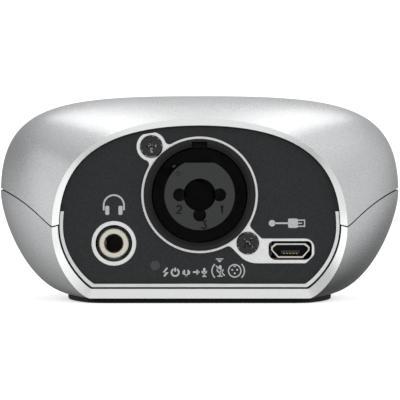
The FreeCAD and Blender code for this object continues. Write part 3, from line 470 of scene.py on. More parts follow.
@dataclass(frozen=True)
class SocketSteel(Finish):
    """Folded socket steel, with painted shade: its inner faces behind the edge are coloured dark and made
    dull.
    """

    painted_inside_shade: Colour = (0.045, 0.044, 0.042)
    centre: Point = (18.4, 10.65)
    edge: float = -33.12

    def shade(self, graph: Graph) -> None:
        """Fill the graph.

        Args:
            graph: the material's empty graph.
        """
        place = graph.place()
        x, y, z = graph.axes(place)
        nx, _, nz = graph.axes(graph.add("ShaderNodeTexCoord", output="Normal"))
        # painted shade: faces turned in towards the socket's middle, behind its edge, take a dark colour
        inner_shade_mask = (((x - self.centre[0]) * nx + (z - self.centre[1]) * nz) < 0.05) * (y > self.edge)
        lines = graph.noise(graph.stretched(place, Grain.DRAWN.value), 3.0, 3.0, 0.6)
        tone = graph.mix(lines.rise(0.3, 0.7), shaded(self.colour, 0.9), shaded(self.colour, 1.06))
        tone = graph.mix(inner_shade_mask, tone, self.painted_inside_shade)
        graph.close({
            "Base Color": tone, "Metallic": 1.0, "Roughness": lines.swing(0.2) + inner_shade_mask * 0.25 + 0.26,
            "Normal": graph.bump(lines, 0.004)})


@dataclass(frozen=True)
class Moulded(Finish):
    """Moulded plastic or rubber with a fine eroded texture."""

    roughness: float = 0.45
    per_mm: float = 4.0
    relief: float = 0.012
    bloom: float = 0.25
    specular: float = 0.5

    def shade(self, graph: Graph) -> None:
        """Fill the graph.

        Args:
            graph: the material's empty graph.
        """
        place = graph.place()
        pits = graph.noise(place, self.per_mm, 3.0, 0.6)
        dust = graph.noise(place, 0.5, 3.0, 0.6)
        tone = graph.mix(pits.rise(0.3, 0.75), shaded(self.colour, 0.82), shaded(self.colour, 1.16))
        tone = graph.mix(dust.rise(0.48, 0.85) * self.bloom, tone, shaded(self.colour, 1.7))
        rough = pits.swing(0.18) + dust.rise(0.4, 0.8) * 0.08 + self.roughness
        graph.close({
            "Base Color": tone, "Roughness": rough, "Specular IOR Level": self.specular,
            "Normal": graph.bump(pits, self.relief)})


@dataclass(frozen=True)
class PanelCoat(Finish):
    """Charcoal coating of the connector panel: a close orange-peel with pale flecks."""

    roughness: float = 0.55

    def shade(self, graph: Graph) -> None:
        """Fill the graph.

        Args:
            graph: the material's empty graph.
        """
        place = graph.place()
        peel = graph.noise(place, 2.6, 2.0, 0.55)
        fleck = graph.noise(place, 5.2, 1.0)
        cloud = graph.noise(place, 0.12, 2.0)
        tone = graph.mix(peel.rise(0.3, 0.7), shaded(self.colour, 0.78), shaded(self.colour, 1.18))
        tone = graph.mix(fleck.rise(0.66, 0.76) * 0.4, tone, shaded(self.colour, 1.9))
        tone = graph.mix(cloud.rise(0.4, 0.7) * 0.2, tone, shaded(self.colour, 0.8))
        rough = peel.swing(0.2) + self.roughness
        graph.close({
            "Base Color": tone, "Roughness": rough, "Specular IOR Level": 0.22,
            "Normal": graph.bump(peel * 0.7 + fleck * 0.3, 0.03, 0.7)})


@dataclass(frozen=True)
class BoardLacquer(Finish):
    """Circuit board lacquer over copper tracks, with bare glass fibre at the edges."""

    copper: Colour = (0.022, 0.05, 0.028)

    def shade(self, graph: Graph) -> None:
        """Fill the graph.

        Args:
            graph: the material's empty graph.
        """
        place = graph.place()
        cells = graph.add("ShaderNodeTexVoronoi", {"distance": "MANHATTAN", "feature": "F1"},
                          {"Vector": place, "Scale": 0.45})
        tracks = graph.add("ShaderNodeTexWave", {"wave_type": "BANDS", "bands_direction": "DIAGONAL"},
                           {"Vector": place, "Scale": 0.6, "Distortion": 1.5, "Detail": 1.0}, "Fac")
        copper = tracks.rise(0.55, 0.6) * cells.rise(0.25, 0.3)
        weave = graph.noise(place, 2.0, 2.0)
        tone = graph.mix(copper, self.colour, self.copper)
        tone = graph.mix(weave.rise(0.4, 0.8) * 0.2, tone, shaded(self.colour, 1.6))
        graph.close({
            "Base Color": tone, "Roughness": weave.swing(0.1) + 0.32, "Coat Weight": 0.3,
            "Normal": graph.bump(copper, 0.02)})


@dataclass(frozen=True)
class ClearPart(Finish):
    """Milky or smoked translucent plastic."""

    transmission: float = 0.5
    roughness: float = 0.25

    def shade(self, graph: Graph) -> None:
        """Fill the graph.

        Args:
            graph: the material's empty graph.
        """
        place = graph.place()
        haze = graph.noise(place, 1.2, 3.0, 0.6)
        tone = graph.mix(haze.rise(0.3, 0.75), shaded(self.colour, 0.9), shaded(self.colour, 1.08))
        graph.close({
            "Base Color": tone, "Roughness": haze.swing(0.15) + self.roughness,
            "Transmission Weight": self.transmission, "IOR": 1.49,
            "Normal": graph.bump(haze, 0.008)})


@dataclass(frozen=True)
class GlossPanel(Finish):
    """Dark polished panel under a clear coat, with faint handling marks."""

    roughness: float = 0.2

    def shade(self, graph: Graph) -> None:
        """Fill the graph.

        Args:
            graph: the material's empty graph.
        """
        place = graph.place()
        smear = graph.noise(graph.stretched(place, (0.3, 1.0, 1.0)), 0.25, 3.0, 0.6)
        dust = graph.noise(place, 3.0, 2.0)
        tone = graph.mix(dust.rise(0.66, 0.8) * 0.5, self.colour, shaded(self.colour, 2.2))
        rough = smear.rise(0.4, 0.8) * 0.05 + self.roughness
        graph.close({
            "Base Color": tone, "Roughness": rough, "Coat Weight": 0.6, "Coat Roughness": 0.08,
            "Normal": graph.bump(dust, 0.003)})


@dataclass(frozen=True)
class PrintedInk(Finish):
    """Screen-printed ink with a slightly uneven lay."""

    def shade(self, graph: Graph) -> None:
        """Fill the graph.

        Args:
            graph: the material's empty graph.
        """
        lay = graph.noise(graph.place(), 3.5, 3.0, 0.6)
        tone = graph.mix(lay.rise(0.3, 0.75), shaded(self.colour, 0.84), shaded(self.colour, 1.06))
        graph.close({
            "Base Color": tone, "Roughness": lay.swing(0.2) + 0.6, "Specular IOR Level": 0.3,
            "Normal": graph.bump(lay, 0.01)})


SILVER = BlastedShell("blasted_silver_shell", (0.62, 0.635, 0.645))
LIP_METAL = WorkedMetal("inner_lip_metal", (0.80, 0.81, 0.81), 0.30, Grain.ROLLED)
PLATE_METAL = PlateMetal("bare_plate_metal", (0.88, 0.885, 0.89), 0.34, Grain.TUMBLED, 2.6, 0.008, 0.06)
NICKEL = WorkedMetal("warm_nickel", (0.80, 0.76, 0.66), 0.22, Grain.TUMBLED, 3.5, 0.004)
TINNED_STEEL = SocketSteel("tinned_socket_steel", (0.70, 0.68, 0.63))
BLACK_SCREW = CrossScrew("blackened_screw_steel", (0.022, 0.022, 0.024))
STEEL_SCREW = WorkedMetal("zinc_screw_steel", (0.62, 0.62, 0.60), 0.3)
BRASS = WorkedMetal("contact_brass_sheet", (0.72, 0.53, 0.22), 0.28, Grain.DRAWN)
DULL_CONTACT = WorkedMetal("dull_contact_silver", (0.10, 0.098, 0.092), 0.42, Grain.DRAWN)
LATCH_STEEL = WorkedMetal("latch_pin_steel", (0.06, 0.06, 0.06), 0.4, Grain.DRAWN)
GOLD = WorkedMetal("gold_flash", (0.92, 0.68, 0.25), 0.2, Grain.DRAWN, 4.0, 0.002)
CAN_METAL = WorkedMetal("capacitor_can", (0.75, 0.76, 0.77), 0.28, Grain.DRAWN)
SHIELD_TIN = WorkedMetal("shield_tinplate", (0.66, 0.66, 0.64), 0.34, Grain.ROLLED)
DOME_METAL = WorkedMetal("switch_dome_steel", (0.68, 0.68, 0.67), 0.3, Grain.ROLLED)
COIL_FERRITE = Moulded("coil_ferrite", (0.07, 0.07, 0.075), 0.5, 3.0, 0.02)
BARREL = Moulded("barrel_plastic", (0.0060, 0.0065, 0.0072), 0.40, 4.5, 0.006, 0.2, 0.28)
INSERT = Moulded("insert_plastic", (0.026, 0.029, 0.030), 0.55, 4.0, 0.02, 0.15, 0.4)
SOCKET_PLASTIC = Moulded("socket_plastic", (0.012, 0.012, 0.013), 0.42, 4.0, 0.008)
CHIP_EPOXY = Moulded("chip_epoxy", (0.02, 0.02, 0.022), 0.55, 5.0, 0.012)
PAD_RUBBER = Moulded("pad_rubber_black", (0.0035, 0.0035, 0.004), 0.72, 3.0, 0.03, 0.2, 0.12)
BEZEL_PLASTIC = Moulded("bezel_plastic", (0.02, 0.021, 0.023), 0.42, 4.0, 0.012)
KEY_PLASTIC = Moulded("key_plastic", (0.025, 0.026, 0.028), 0.48, 4.5, 0.015)
LAMP_EPOXY = Moulded("lamp_epoxy", (0.75, 0.72, 0.55), 0.35, 4.0, 0.005)
CABLE_FILM = Moulded("cable_film", (0.70, 0.71, 0.72), 0.35, 1.5, 0.01)
CHARCOAL = PanelCoat("charcoal_panel_coat", (0.020, 0.0235, 0.0245))
GREEN_BOARD = BoardLacquer("board_lacquer", (0.007, 0.020, 0.010))
SMOKED = ClearPart("smoked_light_pipe", (0.06, 0.062, 0.064), 0.3, 0.35)
MILKY = ClearPart("milky_light_guide", (0.72, 0.74, 0.76), 0.25, 0.4)
BLACK_GLASS = GlossPanel("black_glass_panel", (0.006, 0.006, 0.007))
LIGHT_INK = PrintedInk("light_grey_ink", (0.52, 0.545, 0.55))
DARK_RELIEF = Moulded("dark_number_relief", (0.004, 0.0045, 0.005), 0.6, 4.0, 0.01, 0.1, 0.1)


# Flat marks cut from thin sheet

@dataclass
class MarkSheet:
    """Closed thin shapes drawn in a plane, gathered into one mesh."""

    name: str
    origin: Vector
    right: Vector
    up: Vector
    thickness: float
    loops: list[Loop] = field(default_factory=list)
    bands: list[tuple[Loop, float, bool]] = field(default_factory=list)

    def plate(self, loop: Sequence[Point]) -> "MarkSheet":
        """Add a filled convex shape.

        Args:
            loop: its corners in millimetres, counter-clockwise.

        Returns:
            This sheet.
        """
        self.loops.append(list(loop))
        return self

    def disc(self, centre: Point, radius: float, sides: int = 28) -> "MarkSheet":
        """Add a filled disc.

        Args:
            centre: its middle.
            radius: its radius.
            sides: how many straight sides stand for the circle.

        Returns:
            This sheet.
        """
        return self.plate(ring(centre, radius, sides))

    def pill(self, centre: Point, width: float, height: float, corner: float) -> "MarkSheet":
        """Add a filled rectangle with round corners.

        Args:
            centre: its middle.
            width: its width.
            height: its height.
            corner: the corners' radius.

        Returns:
            This sheet.
        """
        across, along = width / 2 - corner, height / 2 - corner
        loop: Loop = []
        for start, (h, v) in zip((0, 90, 180, 270), ((1, 1), (-1, 1), (-1, -1), (1, -1))):
            spot = (centre[0] + h * across, centre[1] + v * along)
            loop += arc(spot, corner, start, start + 90.0, 6)
        return self.plate(loop)

    def line(self, points: Sequence[Point], width: float, closed: bool = False) -> "MarkSheet":
        """Add a line of even width.

        Args:
            points: the points on its middle.
            width: its width.
            closed: whether the last point joins the first.

        Returns:
            This sheet.
        """
        self.bands.append((list(points), width, closed))
        return self

    def microphone(self, centre: Point, scale: float, pen: float) -> "MarkSheet":
        """Add a microphone on its foot.

        Args:
            centre: its middle.
            scale: 1 for 2.5 mm of height.
            pen: the line width.

        Returns:
            This sheet.
        """
        h, v = centre
        self.pill((h, v + 0.55 * scale), 0.62 * scale, 1.15 * scale, 0.28 * scale)
        self.line(arc((h, v + 0.3 * scale), 0.62 * scale, 180.0, 360.0, 12), pen)
        self.line([(h, v - 0.3 * scale), (h, v - 1.0 * scale)], pen)
        return self.line([(h - 0.52 * scale, v - 1.08 * scale), (h + 0.52 * scale, v - 1.08 * scale)], pen)

    def build(self, body: str, finish: Finish) -> bpy.types.Object:
        """Make the mesh and fasten it.

        Args:
            body: the CAD body that it moves with.
            finish: its finish.

        Returns:
            The new piece.
        """
        mesh = bmesh.new()
        for loop in self.loops:
            self._prism(mesh, loop)
        for points, width, closed in self.bands:
            self._band(mesh, points, width, closed)
        bmesh.ops.recalc_face_normals(mesh, faces=mesh.faces)
        return finish_piece(mesh, self.name, body, finish)

    def _spot(self, point: Point, level: float) -> Vector:
        """A point of the drawing in the row frame.

        Args:
            point: right and up, in millimetres.
            level: 0 at the back of the sheet and 1 at its front.

        Returns:
            The place in metres.
        """
        outward = self.right.cross(self.up).normalized()
        flat = self.right * point[0] + self.up * point[1]
        return self.origin + (flat + outward * (self.thickness * level)) * MM

    def _prism(self, mesh: bmesh.types.BMesh, loop: Loop) -> None:
        """Add a closed prism over a loop.

        Args:
            mesh: the mesh being made.
            loop: the corners.
        """
        back, front = ([mesh.verts.new(self._spot(p, level)) for p in loop] for level in (0.0, 1.0))
        mesh.faces.new(front)
        mesh.faces.new(back[::-1])
        for i in range(len(loop)):
            j = (i + 1) % len(loop)
            mesh.faces.new((back[i], back[j], front[j], front[i]))

    def _band(self, mesh: bmesh.types.BMesh, points: Loop, width: float, closed: bool) -> None:
        """Add a closed strip along a line.

        Args:
            mesh: the mesh being made.
            points: the line's middle.
            width: the strip's width.
            closed: whether it joins up with itself.
        """
        rings = []
        count = len(points)
        for i, point in enumerate(points):
            before = points[i - 1] if i or closed else point
            after = points[(i + 1) % count] if i < count - 1 or closed else point
            along = (Vector(after) - Vector(before)).normalized()
            incoming = (Vector(point) - Vector(before)).normalized() if before != point else along
            side = Vector((-along.y, along.x)) * (width / 2)
            reach = max(0.5, abs(incoming.dot(along)))
            left, right = Vector(point) + side / reach, Vector(point) - side / reach
            rings.append([mesh.verts.new(self._spot(p, level))
                          for p, level in ((left, 0.0), (right, 0.0), (right, 1.0), (left, 1.0))])
        for i in range(count if closed else count - 1):
            here, there = rings[i], rings[(i + 1) % count]
            for k in range(4):
                mesh.faces.new((here[k], here[(k + 1) % 4], there[(k + 1) % 4], there[k]))
        if not closed:
            mesh.faces.new(rings[0])
            mesh.faces.new(rings[-1][::-1])


def arc(centre: Point, radius: float, start: float, end: float, steps: int) -> Loop:
    """Points along an arc.

    Args:
        centre: the arc's centre.
        radius: its radius.
        start: the first angle in degrees.
        end: the last angle.
        steps: how many points.

    Returns:
        The points.
    """
    angles = [math.radians(start + (end - start) * i / (steps - 1)) for i in range(steps)]
    return [(centre[0] + radius * math.cos(a), centre[1] + radius * math.sin(a)) for a in angles]


def ring(centre: Point, radius: float, sides: int) -> Loop:
    """Points round a whole circle.

    Args:
        centre: its middle.
        radius: its radius.
        sides: how many straight sides stand for it.

    Returns:
        The points, with the first not repeated.
    """
    return arc(centre, radius, 0.0, 360.0 * (1 - 1 / sides), sides)


def finish_piece(mesh: bmesh.types.BMesh, name: str, body: str, finish: Finish) -> bpy.types.Object:
    """Turn a finished mesh into a piece that rides on a body.

    Args:
        mesh: the mesh, in the row frame.
        name: the piece's name.
        body: the CAD body that it moves with.
        finish: its finish.

    Returns:
        The new piece.
    """
    data = bpy.data.meshes.new(name)
    mesh.to_mesh(data)
    mesh.free()
    data.materials.append(finish.material())
    piece = bpy.data.objects.new(name, data)
    bpy.context.scene.collection.objects.link(piece)
    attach(piece, body)
    LOG.info("built %s on %s", name, body)
    return piece


def middle(node: str) -> Vector:
    """The middle of a CAD node's box.

    Args:
        node: the node's name.

    Returns:
        The point in metres.
    """
    low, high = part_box(node)
    return (low + high) / 2


# Sub-assemblies

@dataclass
class SubAssembly:
    """A group of CAD nodes with their finishes."""

    def finishes(self) -> dict[str, Finish]:
        """Which finish each node takes.

        Returns:
            Finishes by node name.
        """
        raise NotImplementedError

    def build(self) -> None:
        """Make the pieces that the CAD nodes don't show."""

    def dress(self) -> list[str]:
        """Give every node of the group its finish.

        Returns:
            The names of the dressed nodes.
        """
        for name, finish in self.finishes().items():
            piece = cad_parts[name]
            piece.data.materials.clear()
            piece.data.materials.append(finish.material())
            LOG.info("dressed %s in %s", name, finish.name)
        return list(self.finishes())


@dataclass
class Housing(SubAssembly):
    """The two shells, the rubber pad and the case screws."""

    def finishes(self) -> dict[str, Finish]:
        """Which finish each node takes."""
        return {"top_shell": SILVER, "bottom_shell": SILVER, "foot_pad": PAD_RUBBER,
                "case_screws": BLACK_SCREW}


@dataclass
class ConnectorPanel(SubAssembly):
    """The plate, its dark skin, the frame in front and the printed marks. Sizes in millimetres."""

    ink: float = 0.025
    pictogram_rise: float = 7.86
    cable_shift: float = -0.65
    cable_rise: float = 5.54
    legend_height: float = 6.53
    line: float = 0.34
    thin_line: float = 0.24

    def finishes(self) -> dict[str, Finish]:
        """Which finish each node takes."""
        return {"connector_plate": PLATE_METAL, "panel_skin": CHARCOAL, "inner_frame": LIP_METAL}

    def sheet(self, name: str, x: float, z: float) -> MarkSheet:
        """A drawing sheet on the skin.

        Args:
            name: the piece's name.
            x: its middle across, in millimetres.
            z: its middle height.

        Returns:
            The empty sheet.
        """
        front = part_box("panel_skin")[0].y
        origin = Vector((x * MM, front, z * MM))
        return MarkSheet(name, origin, Vector((1, 0, 0)), Vector((0, 0, 1)), self.ink)

    def build(self) -> None:
        """Print the headphone, cable and legend marks."""
        phones, usb = middle("phones_ferrule") / MM, middle("usb_shell") / MM
        self._headphones(phones.x, phones.z + self.pictogram_rise)
        self._cable(usb.x + self.cable_shift, usb.z + self.cable_rise)
        self._legend()

    def _headphones(self, x: float, z: float) -> None:
        """Print a pair of headphones.

        Args:
            x: middle across.
            z: middle height.
        """
        drawing = self.sheet("headphone_mark", x, z)
        bow = [(2.05, -1.15), *arc((0.0, -0.12), 2.05, 0.0, 180.0, 25), (-2.05, -1.15)]
        drawing.line(bow, self.line)
        for side in (-1, 1):
            drawing.pill((side * 1.34, -1.16), 0.82, 1.84, 0.28)
        drawing.build(ROOT_BODY, LIGHT_INK)

    def _cable(self, x: float, z: float) -> None:
        """Print a plug on a cable.

        Args:
            x: middle across.
            z: middle height.
        """
        drawing = self.sheet("cable_mark", x, z)
        drawing.disc((-3.05, 0.0), 0.66)
        drawing.line([(-2.5, 0.0), (0.2, 0.0)], self.line)
        drawing.pill((1.2, 0.0), 2.0, 1.9, 0.3)
        drawing.line([(2.2, 0.62), (3.55, 0.62), (3.55, -0.62), (2.2, -0.62)], self.thin_line)
        drawing.line([(2.2, 0.0), (3.0, 0.0)], self.thin_line)
        drawing.build(ROOT_BODY, LIGHT_INK)

    def _legend(self) -> None:
        """Print the row of small pictograms under the combined socket."""
        pen, fine = self.line, self.thin_line
        row = self.sheet("legend_mark", 0.0, self.legend_height - 0.26)
        row.line([(-6.55, 0.87), (-7.3, -0.05), (-6.6, -0.05), (-7.2, -0.87)], pen)
        row.line(arc((-4.95, -0.05), 0.74, 120.0, 420.0, 22), pen)
        row.line([(-4.95, 0.9), (-4.95, 0.1)], pen)
        row.line([(-3.1, 0.45), (-3.1, -0.3)], pen)
        row.line([(-2.3, 0.45), (-2.3, -0.3)], pen)
        row.line([(-3.35, 0.2), (-3.35, -0.3), (-2.7, -0.62), (-2.05, -0.3), (-2.05, 0.2)], fine)
        row.line([(-2.7, -0.55), (-2.7, -0.87)], pen)
        row.line([(-1.35, 0.0), (-0.2, 0.0)], pen)
        row.line([(-0.62, 0.45), (-0.1, 0.0), (-0.62, -0.45)], fine)
        row.microphone((0.95, -0.02), 0.78, fine)
        row.line(arc((4.35, 0.26), 1.85, 132.0, 228.0, 14), fine)
        row.microphone((4.15, 0.26), 1.0, fine)
        row.line([(3.3, 1.3), (5.1, -0.75)], fine)
        row.line(arc((7.12, 0.26), 1.26, 0.0, 348.0, 30), fine, closed=True)
        for h, v in ((-0.5, 0.2), (0.5, 0.2), (0.0, -0.5)):
            row.disc((7.12 + h, 0.26 + v), 0.2, 12)
        row.line([(6.95, 0.26 + 1.2), (6.95, 0.26 + 0.85), (7.29, 0.26 + 0.85), (7.29, 0.26 + 1.2)], 0.14)
        row.line(arc((7.25, 0.26), 1.85, 48.0, -48.0, 14), fine)
        row.build(ROOT_BODY, LIGHT_INK)
        press = self.sheet("press_mark", 4.05, self.legend_height + 2.12)
        press.line([(-0.75, 0.3), (0.75, 0.3)], 0.2)
        press.plate([(-0.5, 0.05), (0.0, -0.42), (0.5, 0.05)])
        press.build(ROOT_BODY, LIGHT_INK)


@dataclass
class CombinedSocket(SubAssembly):
    """The microphone and jack socket with its screws, contacts and numbers. Sizes in millimetres."""

    relief: float = 0.03
    stroke: float = 0.26
    pin_reach: float = 7.78
    pin_angle: float = 132.0
    pin_radius: float = 0.6
    pin_ends: Point = (-31.5, -14.2)
    pin_sides: int = 24
    nose_end: float = 80.0
    nose_steps: int = 7

    def finishes(self) -> dict[str, Finish]:
        """Which finish each node takes.

        Returns:
            Finishes by node name.
        """
        dressed: dict[str, Finish] = {
            "combo_housing": BARREL, "combo_floor": BARREL, "combo_insert": INSERT,
            "combo_block": SOCKET_PLASTIC, "combo_pins": BRASS, "combo_screws": BLACK_SCREW}
        dressed.update({f"xlr_contact_{n}": DULL_CONTACT for n in (1, 2, 3)})
        dressed.update({f"plug_spring_{n}": BRASS for n in ("tip", "ring", "sleeve")})
        return dressed

    def build(self) -> None:
        """Raise the pin numbers beside their holes."""
        low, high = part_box("combo_housing")
        centre_z = (low.z + high.z) / 2
        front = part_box("combo_insert")[0].y
        strokes = {
            "1": ((4.5, -3.0), [[(-0.28, 0.5), (0.08, 0.8), (0.08, -0.8)]]),
            "2": ((-4.15, -3.0), [[(-0.5, 0.45), (-0.3, 0.75), (0.2, 0.78), (0.45, 0.5), (0.4, 0.12),
                                   (-0.5, -0.78), (0.52, -0.78)]]),
            "3": ((0.9, -6.05), [[(-0.45, 0.72), (0.42, 0.72), (0.02, 0.14), (0.4, -0.12), (0.42, -0.5),
                                  (0.1, -0.76), (-0.3, -0.74), (-0.48, -0.5)]]),
        }
        for figure, ((x, z), lines) in strokes.items():
            origin = Vector((x * MM, front, centre_z + z * MM))
            sheet = MarkSheet(f"insert_number_{figure}", origin, Vector((1, 0, 0)), Vector((0, 0, 1)),
                              self.relief)
            for points in lines:
                sheet.line(points, self.stroke)
            sheet.build(ROOT_BODY, DARK_RELIEF)
        self._latch_pin(centre_z)

    def _latch_pin(self, centre_z: float) -> None:
        """Stand the latch's round-nosed pin on the barrel's floor.

        Args:
            centre_z: the height of the socket's axis in metres.
        """
        turn = math.radians(self.pin_angle)
        foot = Vector((math.cos(turn), 0.0, math.sin(turn))) * (self.pin_reach * MM)
        foot.z += centre_z
        front, back = self.pin_ends
        profile = [(self.pin_radius, back)]
        nose = arc((0.0, -self.pin_radius), self.pin_radius, 0.0, self.nose_end, self.nose_steps)
        profile += [(r, front - v) for r, v in nose]
        mesh = bmesh.new()
        rings = []
        for radius, y in profile:
            rings.append([mesh.verts.new(foot + Vector((h * MM, y * MM, v * MM)))
                          for h, v in ring((0.0, 0.0), radius, self.pin_sides)])
        for near, far in zip(rings, rings[1:]):
            for k in range(len(near)):
                mesh.faces.new((near[k - 1], near[k], far[k], far[k - 1])).smooth = True
        mesh.faces.new(rings[0])
        mesh.faces.new(rings[-1][::-1])
        bmesh.ops.recalc_face_normals(mesh, faces=mesh.faces)
        finish_piece(mesh, "latch_pin", ROOT_BODY, LATCH_STEEL)


@dataclass
class HeadphoneSocket(SubAssembly):
    """The small jack socket."""

    def finishes(self) -> dict[str, Finish]:
        """Which finish each node takes."""
        return {"phones_ferrule": NICKEL, "phones_body": SOCKET_PLASTIC, "phones_spring_tip": BRASS,
                "phones_spring_ring": BRASS, "phones_tails": BRASS}


@dataclass
class UsbSocket(SubAssembly):
    """The data socket and the lamp beside the legend."""

    def finishes(self) -> dict[str, Finish]:
        """Which finish each node takes."""
        return {"usb_shell": TINNED_STEEL, "usb_tongue": SOCKET_PLASTIC, "usb_contacts": GOLD,
                "lamp_pipe": SMOKED, "supply_lamp": LAMP_EPOXY}


@dataclass
class Electronics(SubAssembly):
    """The boards and what is soldered to them."""

    def finishes(self) -> dict[str, Finish]:
        """Which finish each node takes.

        Returns:
            Finishes by node name.
        """
        dressed: dict[str, Finish] = {
            "main_board": GREEN_BOARD, "front_board": GREEN_BOARD, "board_screws": STEEL_SCREW,
            "codec_chip": CHIP_EPOXY, "controller_chip": CHIP_EPOXY, "clock_crystal": CAN_METAL,
            "power_coil": COIL_FERRITE, "preamp_shield": SHIELD_TIN, "flat_cable": CABLE_FILM,
            "cable_socket_main": SOCKET_PLASTIC, "cable_socket_front": SOCKET_PLASTIC}
        dressed.update({f"capacitor_{n}": CAN_METAL for n in (1, 2, 3)})
        dressed.update({f"level_lamp_{n}": LAMP_EPOXY for n in range(1, 6)})
        return dressed


@dataclass
class ControlFace(SubAssembly):
    """The leaning glass panel with its light guide and two keys. Sizes in millimetres."""

    lean: float = 24.0
    ink: float = 0.06
    pen: float = 0.26
    key_mark: float = 1.15
    mark_lift: float = 0.25

    def finishes(self) -> dict[str, Finish]:
        """Which finish each node takes.

        Returns:
            Finishes by node name.
        """
        return {"front_bezel": BEZEL_PLASTIC, "front_glass": BLACK_GLASS, "light_guide": MILKY,
                "mute_key": KEY_PLASTIC, "select_key": KEY_PLASTIC, "mute_switch": DOME_METAL,
                "select_switch": DOME_METAL}

    def build(self) -> None:
        """Print one small mark on each key."""
        lean = math.radians(self.lean)
        outward = Vector((0, math.cos(lean), math.sin(lean)))
        up = Vector((0, -math.sin(lean), math.cos(lean)))
        right = up.cross(outward)
        for key in ("mute_key", "select_key"):
            points = [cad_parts[key].matrix_world @ v.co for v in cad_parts[key].data.vertices]
            top = max(p.dot(outward) for p in points)
            centre = sum(points, Vector()) / len(points)
            spot = centre + outward * (top - self.mark_lift * MM - centre.dot(outward))
            sheet = MarkSheet(f"{key}_mark", spot, right, up, self.ink)
            if key == "mute_key":
                sheet.microphone((0.0, 0.1), 0.9, self.pen)
                sheet.line([(-1.15, 1.25), (1.15, -1.25)], self.pen)
            else:
                sheet.line(arc((0.0, -0.1), self.key_mark, 0.0, 180.0, 20), self.pen)
                for side in (-1, 1):
                    sheet.pill((side * 0.86, -0.55), 0.5, 1.1, 0.18)
            sheet.build(key, LIGHT_INK)


# Studio

class Toward(Enum):
    """Directions of the soft glows round the object."""

    FRONT = (0.0, -1.0, 0.0)
    ABOVE = (0.0, 0.0, 1.0)
    LEFT = (-1.0, 0.0, 0.0)
    RIGHT = (1.0, 0.0, 0.0)
    HIGH_BACK = (0.18, 0.68, 0.71)
    LOW_LEFT = (-0.88, -0.2, -0.42)
    LOW_RIGHT = (0.88, -0.2, -0.42)
    LOW_BACK_LEFT = (-0.6, 0.72, -0.35)
    BELOW = (0.0, -0.3, -0.95)


@dataclass(frozen=True)
class SoftBox:
    """One soft light that faces the object. Metres and watts."""

    name: str
    spot: tuple[float, float, float]
    size: Point
    power: float

    def hang(self, target: Vector) -> None:
        """Hang the light.

        Args:
            target: what it faces.
        """
        data = bpy.data.lights.new(self.name, "AREA")
        data.shape = "RECTANGLE"
        data.size, data.size_y = self.size
        data.energy = self.power
        lamp = bpy.data.objects.new(self.name, data)
        lamp.location = self.spot
        lamp.visible_camera = False
        lamp.rotation_euler = (target - Vector(self.spot)).to_track_quat("-Z", "Y").to_euler()
        bpy.context.scene.collection.objects.link(lamp)


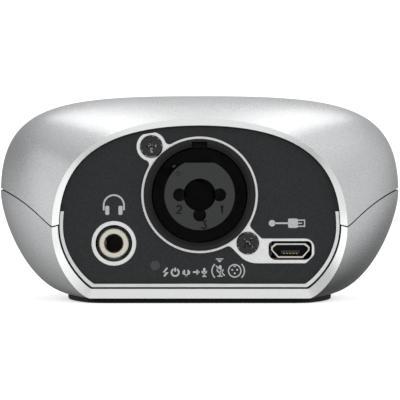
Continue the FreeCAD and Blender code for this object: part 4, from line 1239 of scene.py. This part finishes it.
@dataclass
class Studio:
    """Floor, soft lights and camera. Metres and degrees."""

    eye: tuple[float, float, float] = (0.0, -0.6525, 0.0209)
    lens: float = 275.0
    sensor: float = 36.0
    shift: float = 0.001
    aim_height: float = 0.02
    floor_half: float = 3.0
    floor_level: float = -0.00004
    sweep_start: float = 0.9
    sweep_radius: float = 0.8
    world_light: float = 1.0
    glows: dict[Toward, Point] = field(default_factory=lambda: {
        Toward.FRONT: (0.76, 0.35), Toward.ABOVE: (0.80, 0.35), Toward.LEFT: (0.40, 0.35),
        Toward.RIGHT: (0.60, 0.35), Toward.HIGH_BACK: (0.55, 0.35), Toward.LOW_LEFT: (0.52, 0.35),
        Toward.LOW_RIGHT: (0.6, 0.35), Toward.LOW_BACK_LEFT: (0.36, 0.8), Toward.BELOW: (0.85, 0.7)})
    boxes: tuple[SoftBox, ...] = (
        SoftBox("left_box", (-0.78, 0.0, 0.25), (1.0, 0.6), 1.1),
        SoftBox("right_box", (0.45, -0.64, 0.25), (0.9, 0.5), 0.65),
        SoftBox("far_box", (0.0, 0.56, 0.566), (0.6, 0.3), 0.62))

    def build(self) -> None:
        """Set up the whole studio."""
        scene = bpy.context.scene
        scene.view_settings.view_transform = "Standard"
        self._floor()
        self._world(scene)
        for box in self.boxes:
            box.hang(Vector((0.0, 0.0, self.aim_height)))
        self._camera(scene)

    def _floor(self) -> None:
        """A pale sheet on the table and a pale sheet that curves up behind it."""
        half, start, radius = self.floor_half, self.sweep_start, self.sweep_radius
        sweep = arc((start, radius), radius, -90.0, 0.0, 16)
        for name, profile in (("floor", [(-half, self.floor_level), (start, self.floor_level)]),
                              ("backdrop", [*sweep, (sweep[-1][0], half)])):
            sheet = self._sheet(name, profile)
            sheet.visible_glossy = sheet.visible_diffuse = False

    def _sheet(self, name: str, profile: Loop) -> bpy.types.Object:
        """A wide sheet of paper with one profile along Y.

        Args:
            name: the sheet's name.
            profile: its points in Y and Z.

        Returns:
            The stage object.
        """
        mesh = bmesh.new()
        half = self.floor_half
        rows = [[mesh.verts.new((x, y, z)) for x in (-half, half)] for y, z in profile]
        for (a, b), (c, d) in zip(rows, rows[1:]):
            mesh.faces.new((a, b, d, c)).smooth = True
        data = bpy.data.meshes.new(name)
        mesh.to_mesh(data)
        mesh.free()
        data.materials.append(self._paper())
        sheet = bpy.data.objects.new(name, data)
        bpy.context.scene.collection.objects.link(sheet)
        return sheet

    @staticmethod
    def _paper() -> bpy.types.Material:
        """Plain pale paper.

        Returns:
            The material.
        """
        found = bpy.data.materials.get("pale_paper")
        if found:
            return found
        made = bpy.data.materials.new("pale_paper")
        made.use_nodes = True
        graph = Graph(made.node_tree)
        fibre = graph.noise(graph.place(), 0.02, 2.0)
        tone = graph.mix(fibre, *PAPER_TONES)
        graph.close({"Base Color": tone, "Roughness": 0.9, "Specular IOR Level": 0.1,
                     "Emission Color": (1.0, 1.0, 1.0), "Emission Strength": PAPER_GLOW})
        return made

    def _world(self, scene: bpy.types.Scene) -> None:
        """Broad soft glows round the object.

        Args:
            scene: the scene that they belong to.
        """
        scene.world = bpy.data.worlds.new("studio")
        scene.world.use_nodes = True
        graph = Graph(scene.world.node_tree)
        toward = graph.add("ShaderNodeTexCoord", output="Generated")
        glow: Input = 0.0
        for direction, (level, edge) in self.glows.items():
            facing = graph.add("ShaderNodeVectorMath", {"operation": "DOT_PRODUCT"},
                               {0: toward, 1: direction.value}, "Value")
            glow = facing.rise(edge, 1.0) * level + glow
        light = graph.add("ShaderNodeBackground", None, {"Color": glow, "Strength": self.world_light})
        graph.add("ShaderNodeOutputWorld", None, {"Surface": light})

    def _camera(self, scene: bpy.types.Scene) -> None:
        """Put the camera straight behind the connector side.

        Args:
            scene: the scene that it belongs to.
        """
        data = bpy.data.cameras.new("camera")
        data.lens, data.sensor_width, data.shift_x = self.lens, self.sensor, self.shift
        data.clip_start, data.clip_end = 0.01, 20.0
        camera = bpy.data.objects.new("camera", data)
        camera.matrix_world = Matrix.Translation(self.eye) @ Matrix.Rotation(math.radians(90), 4, "X")
        scene.collection.objects.link(camera)
        scene.camera = camera


def main() -> None:
    """Build and dress each sub-assembly, then the studio."""
    logging.basicConfig(level=logging.INFO, format="%(name)s: %(message)s")
    dressed: list[str] = []
    for group in (Housing(), ConnectorPanel(), CombinedSocket(), HeadphoneSocket(), UsbSocket(),
                  Electronics(), ControlFace()):
        group.build()
        dressed += group.dress()
    left = sorted(set(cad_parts) - set(dressed))
    if left:
        raise ValueError(f"nodes without a finish: {left}")
    Studio().build()


if __name__ == "__main__":
    main()
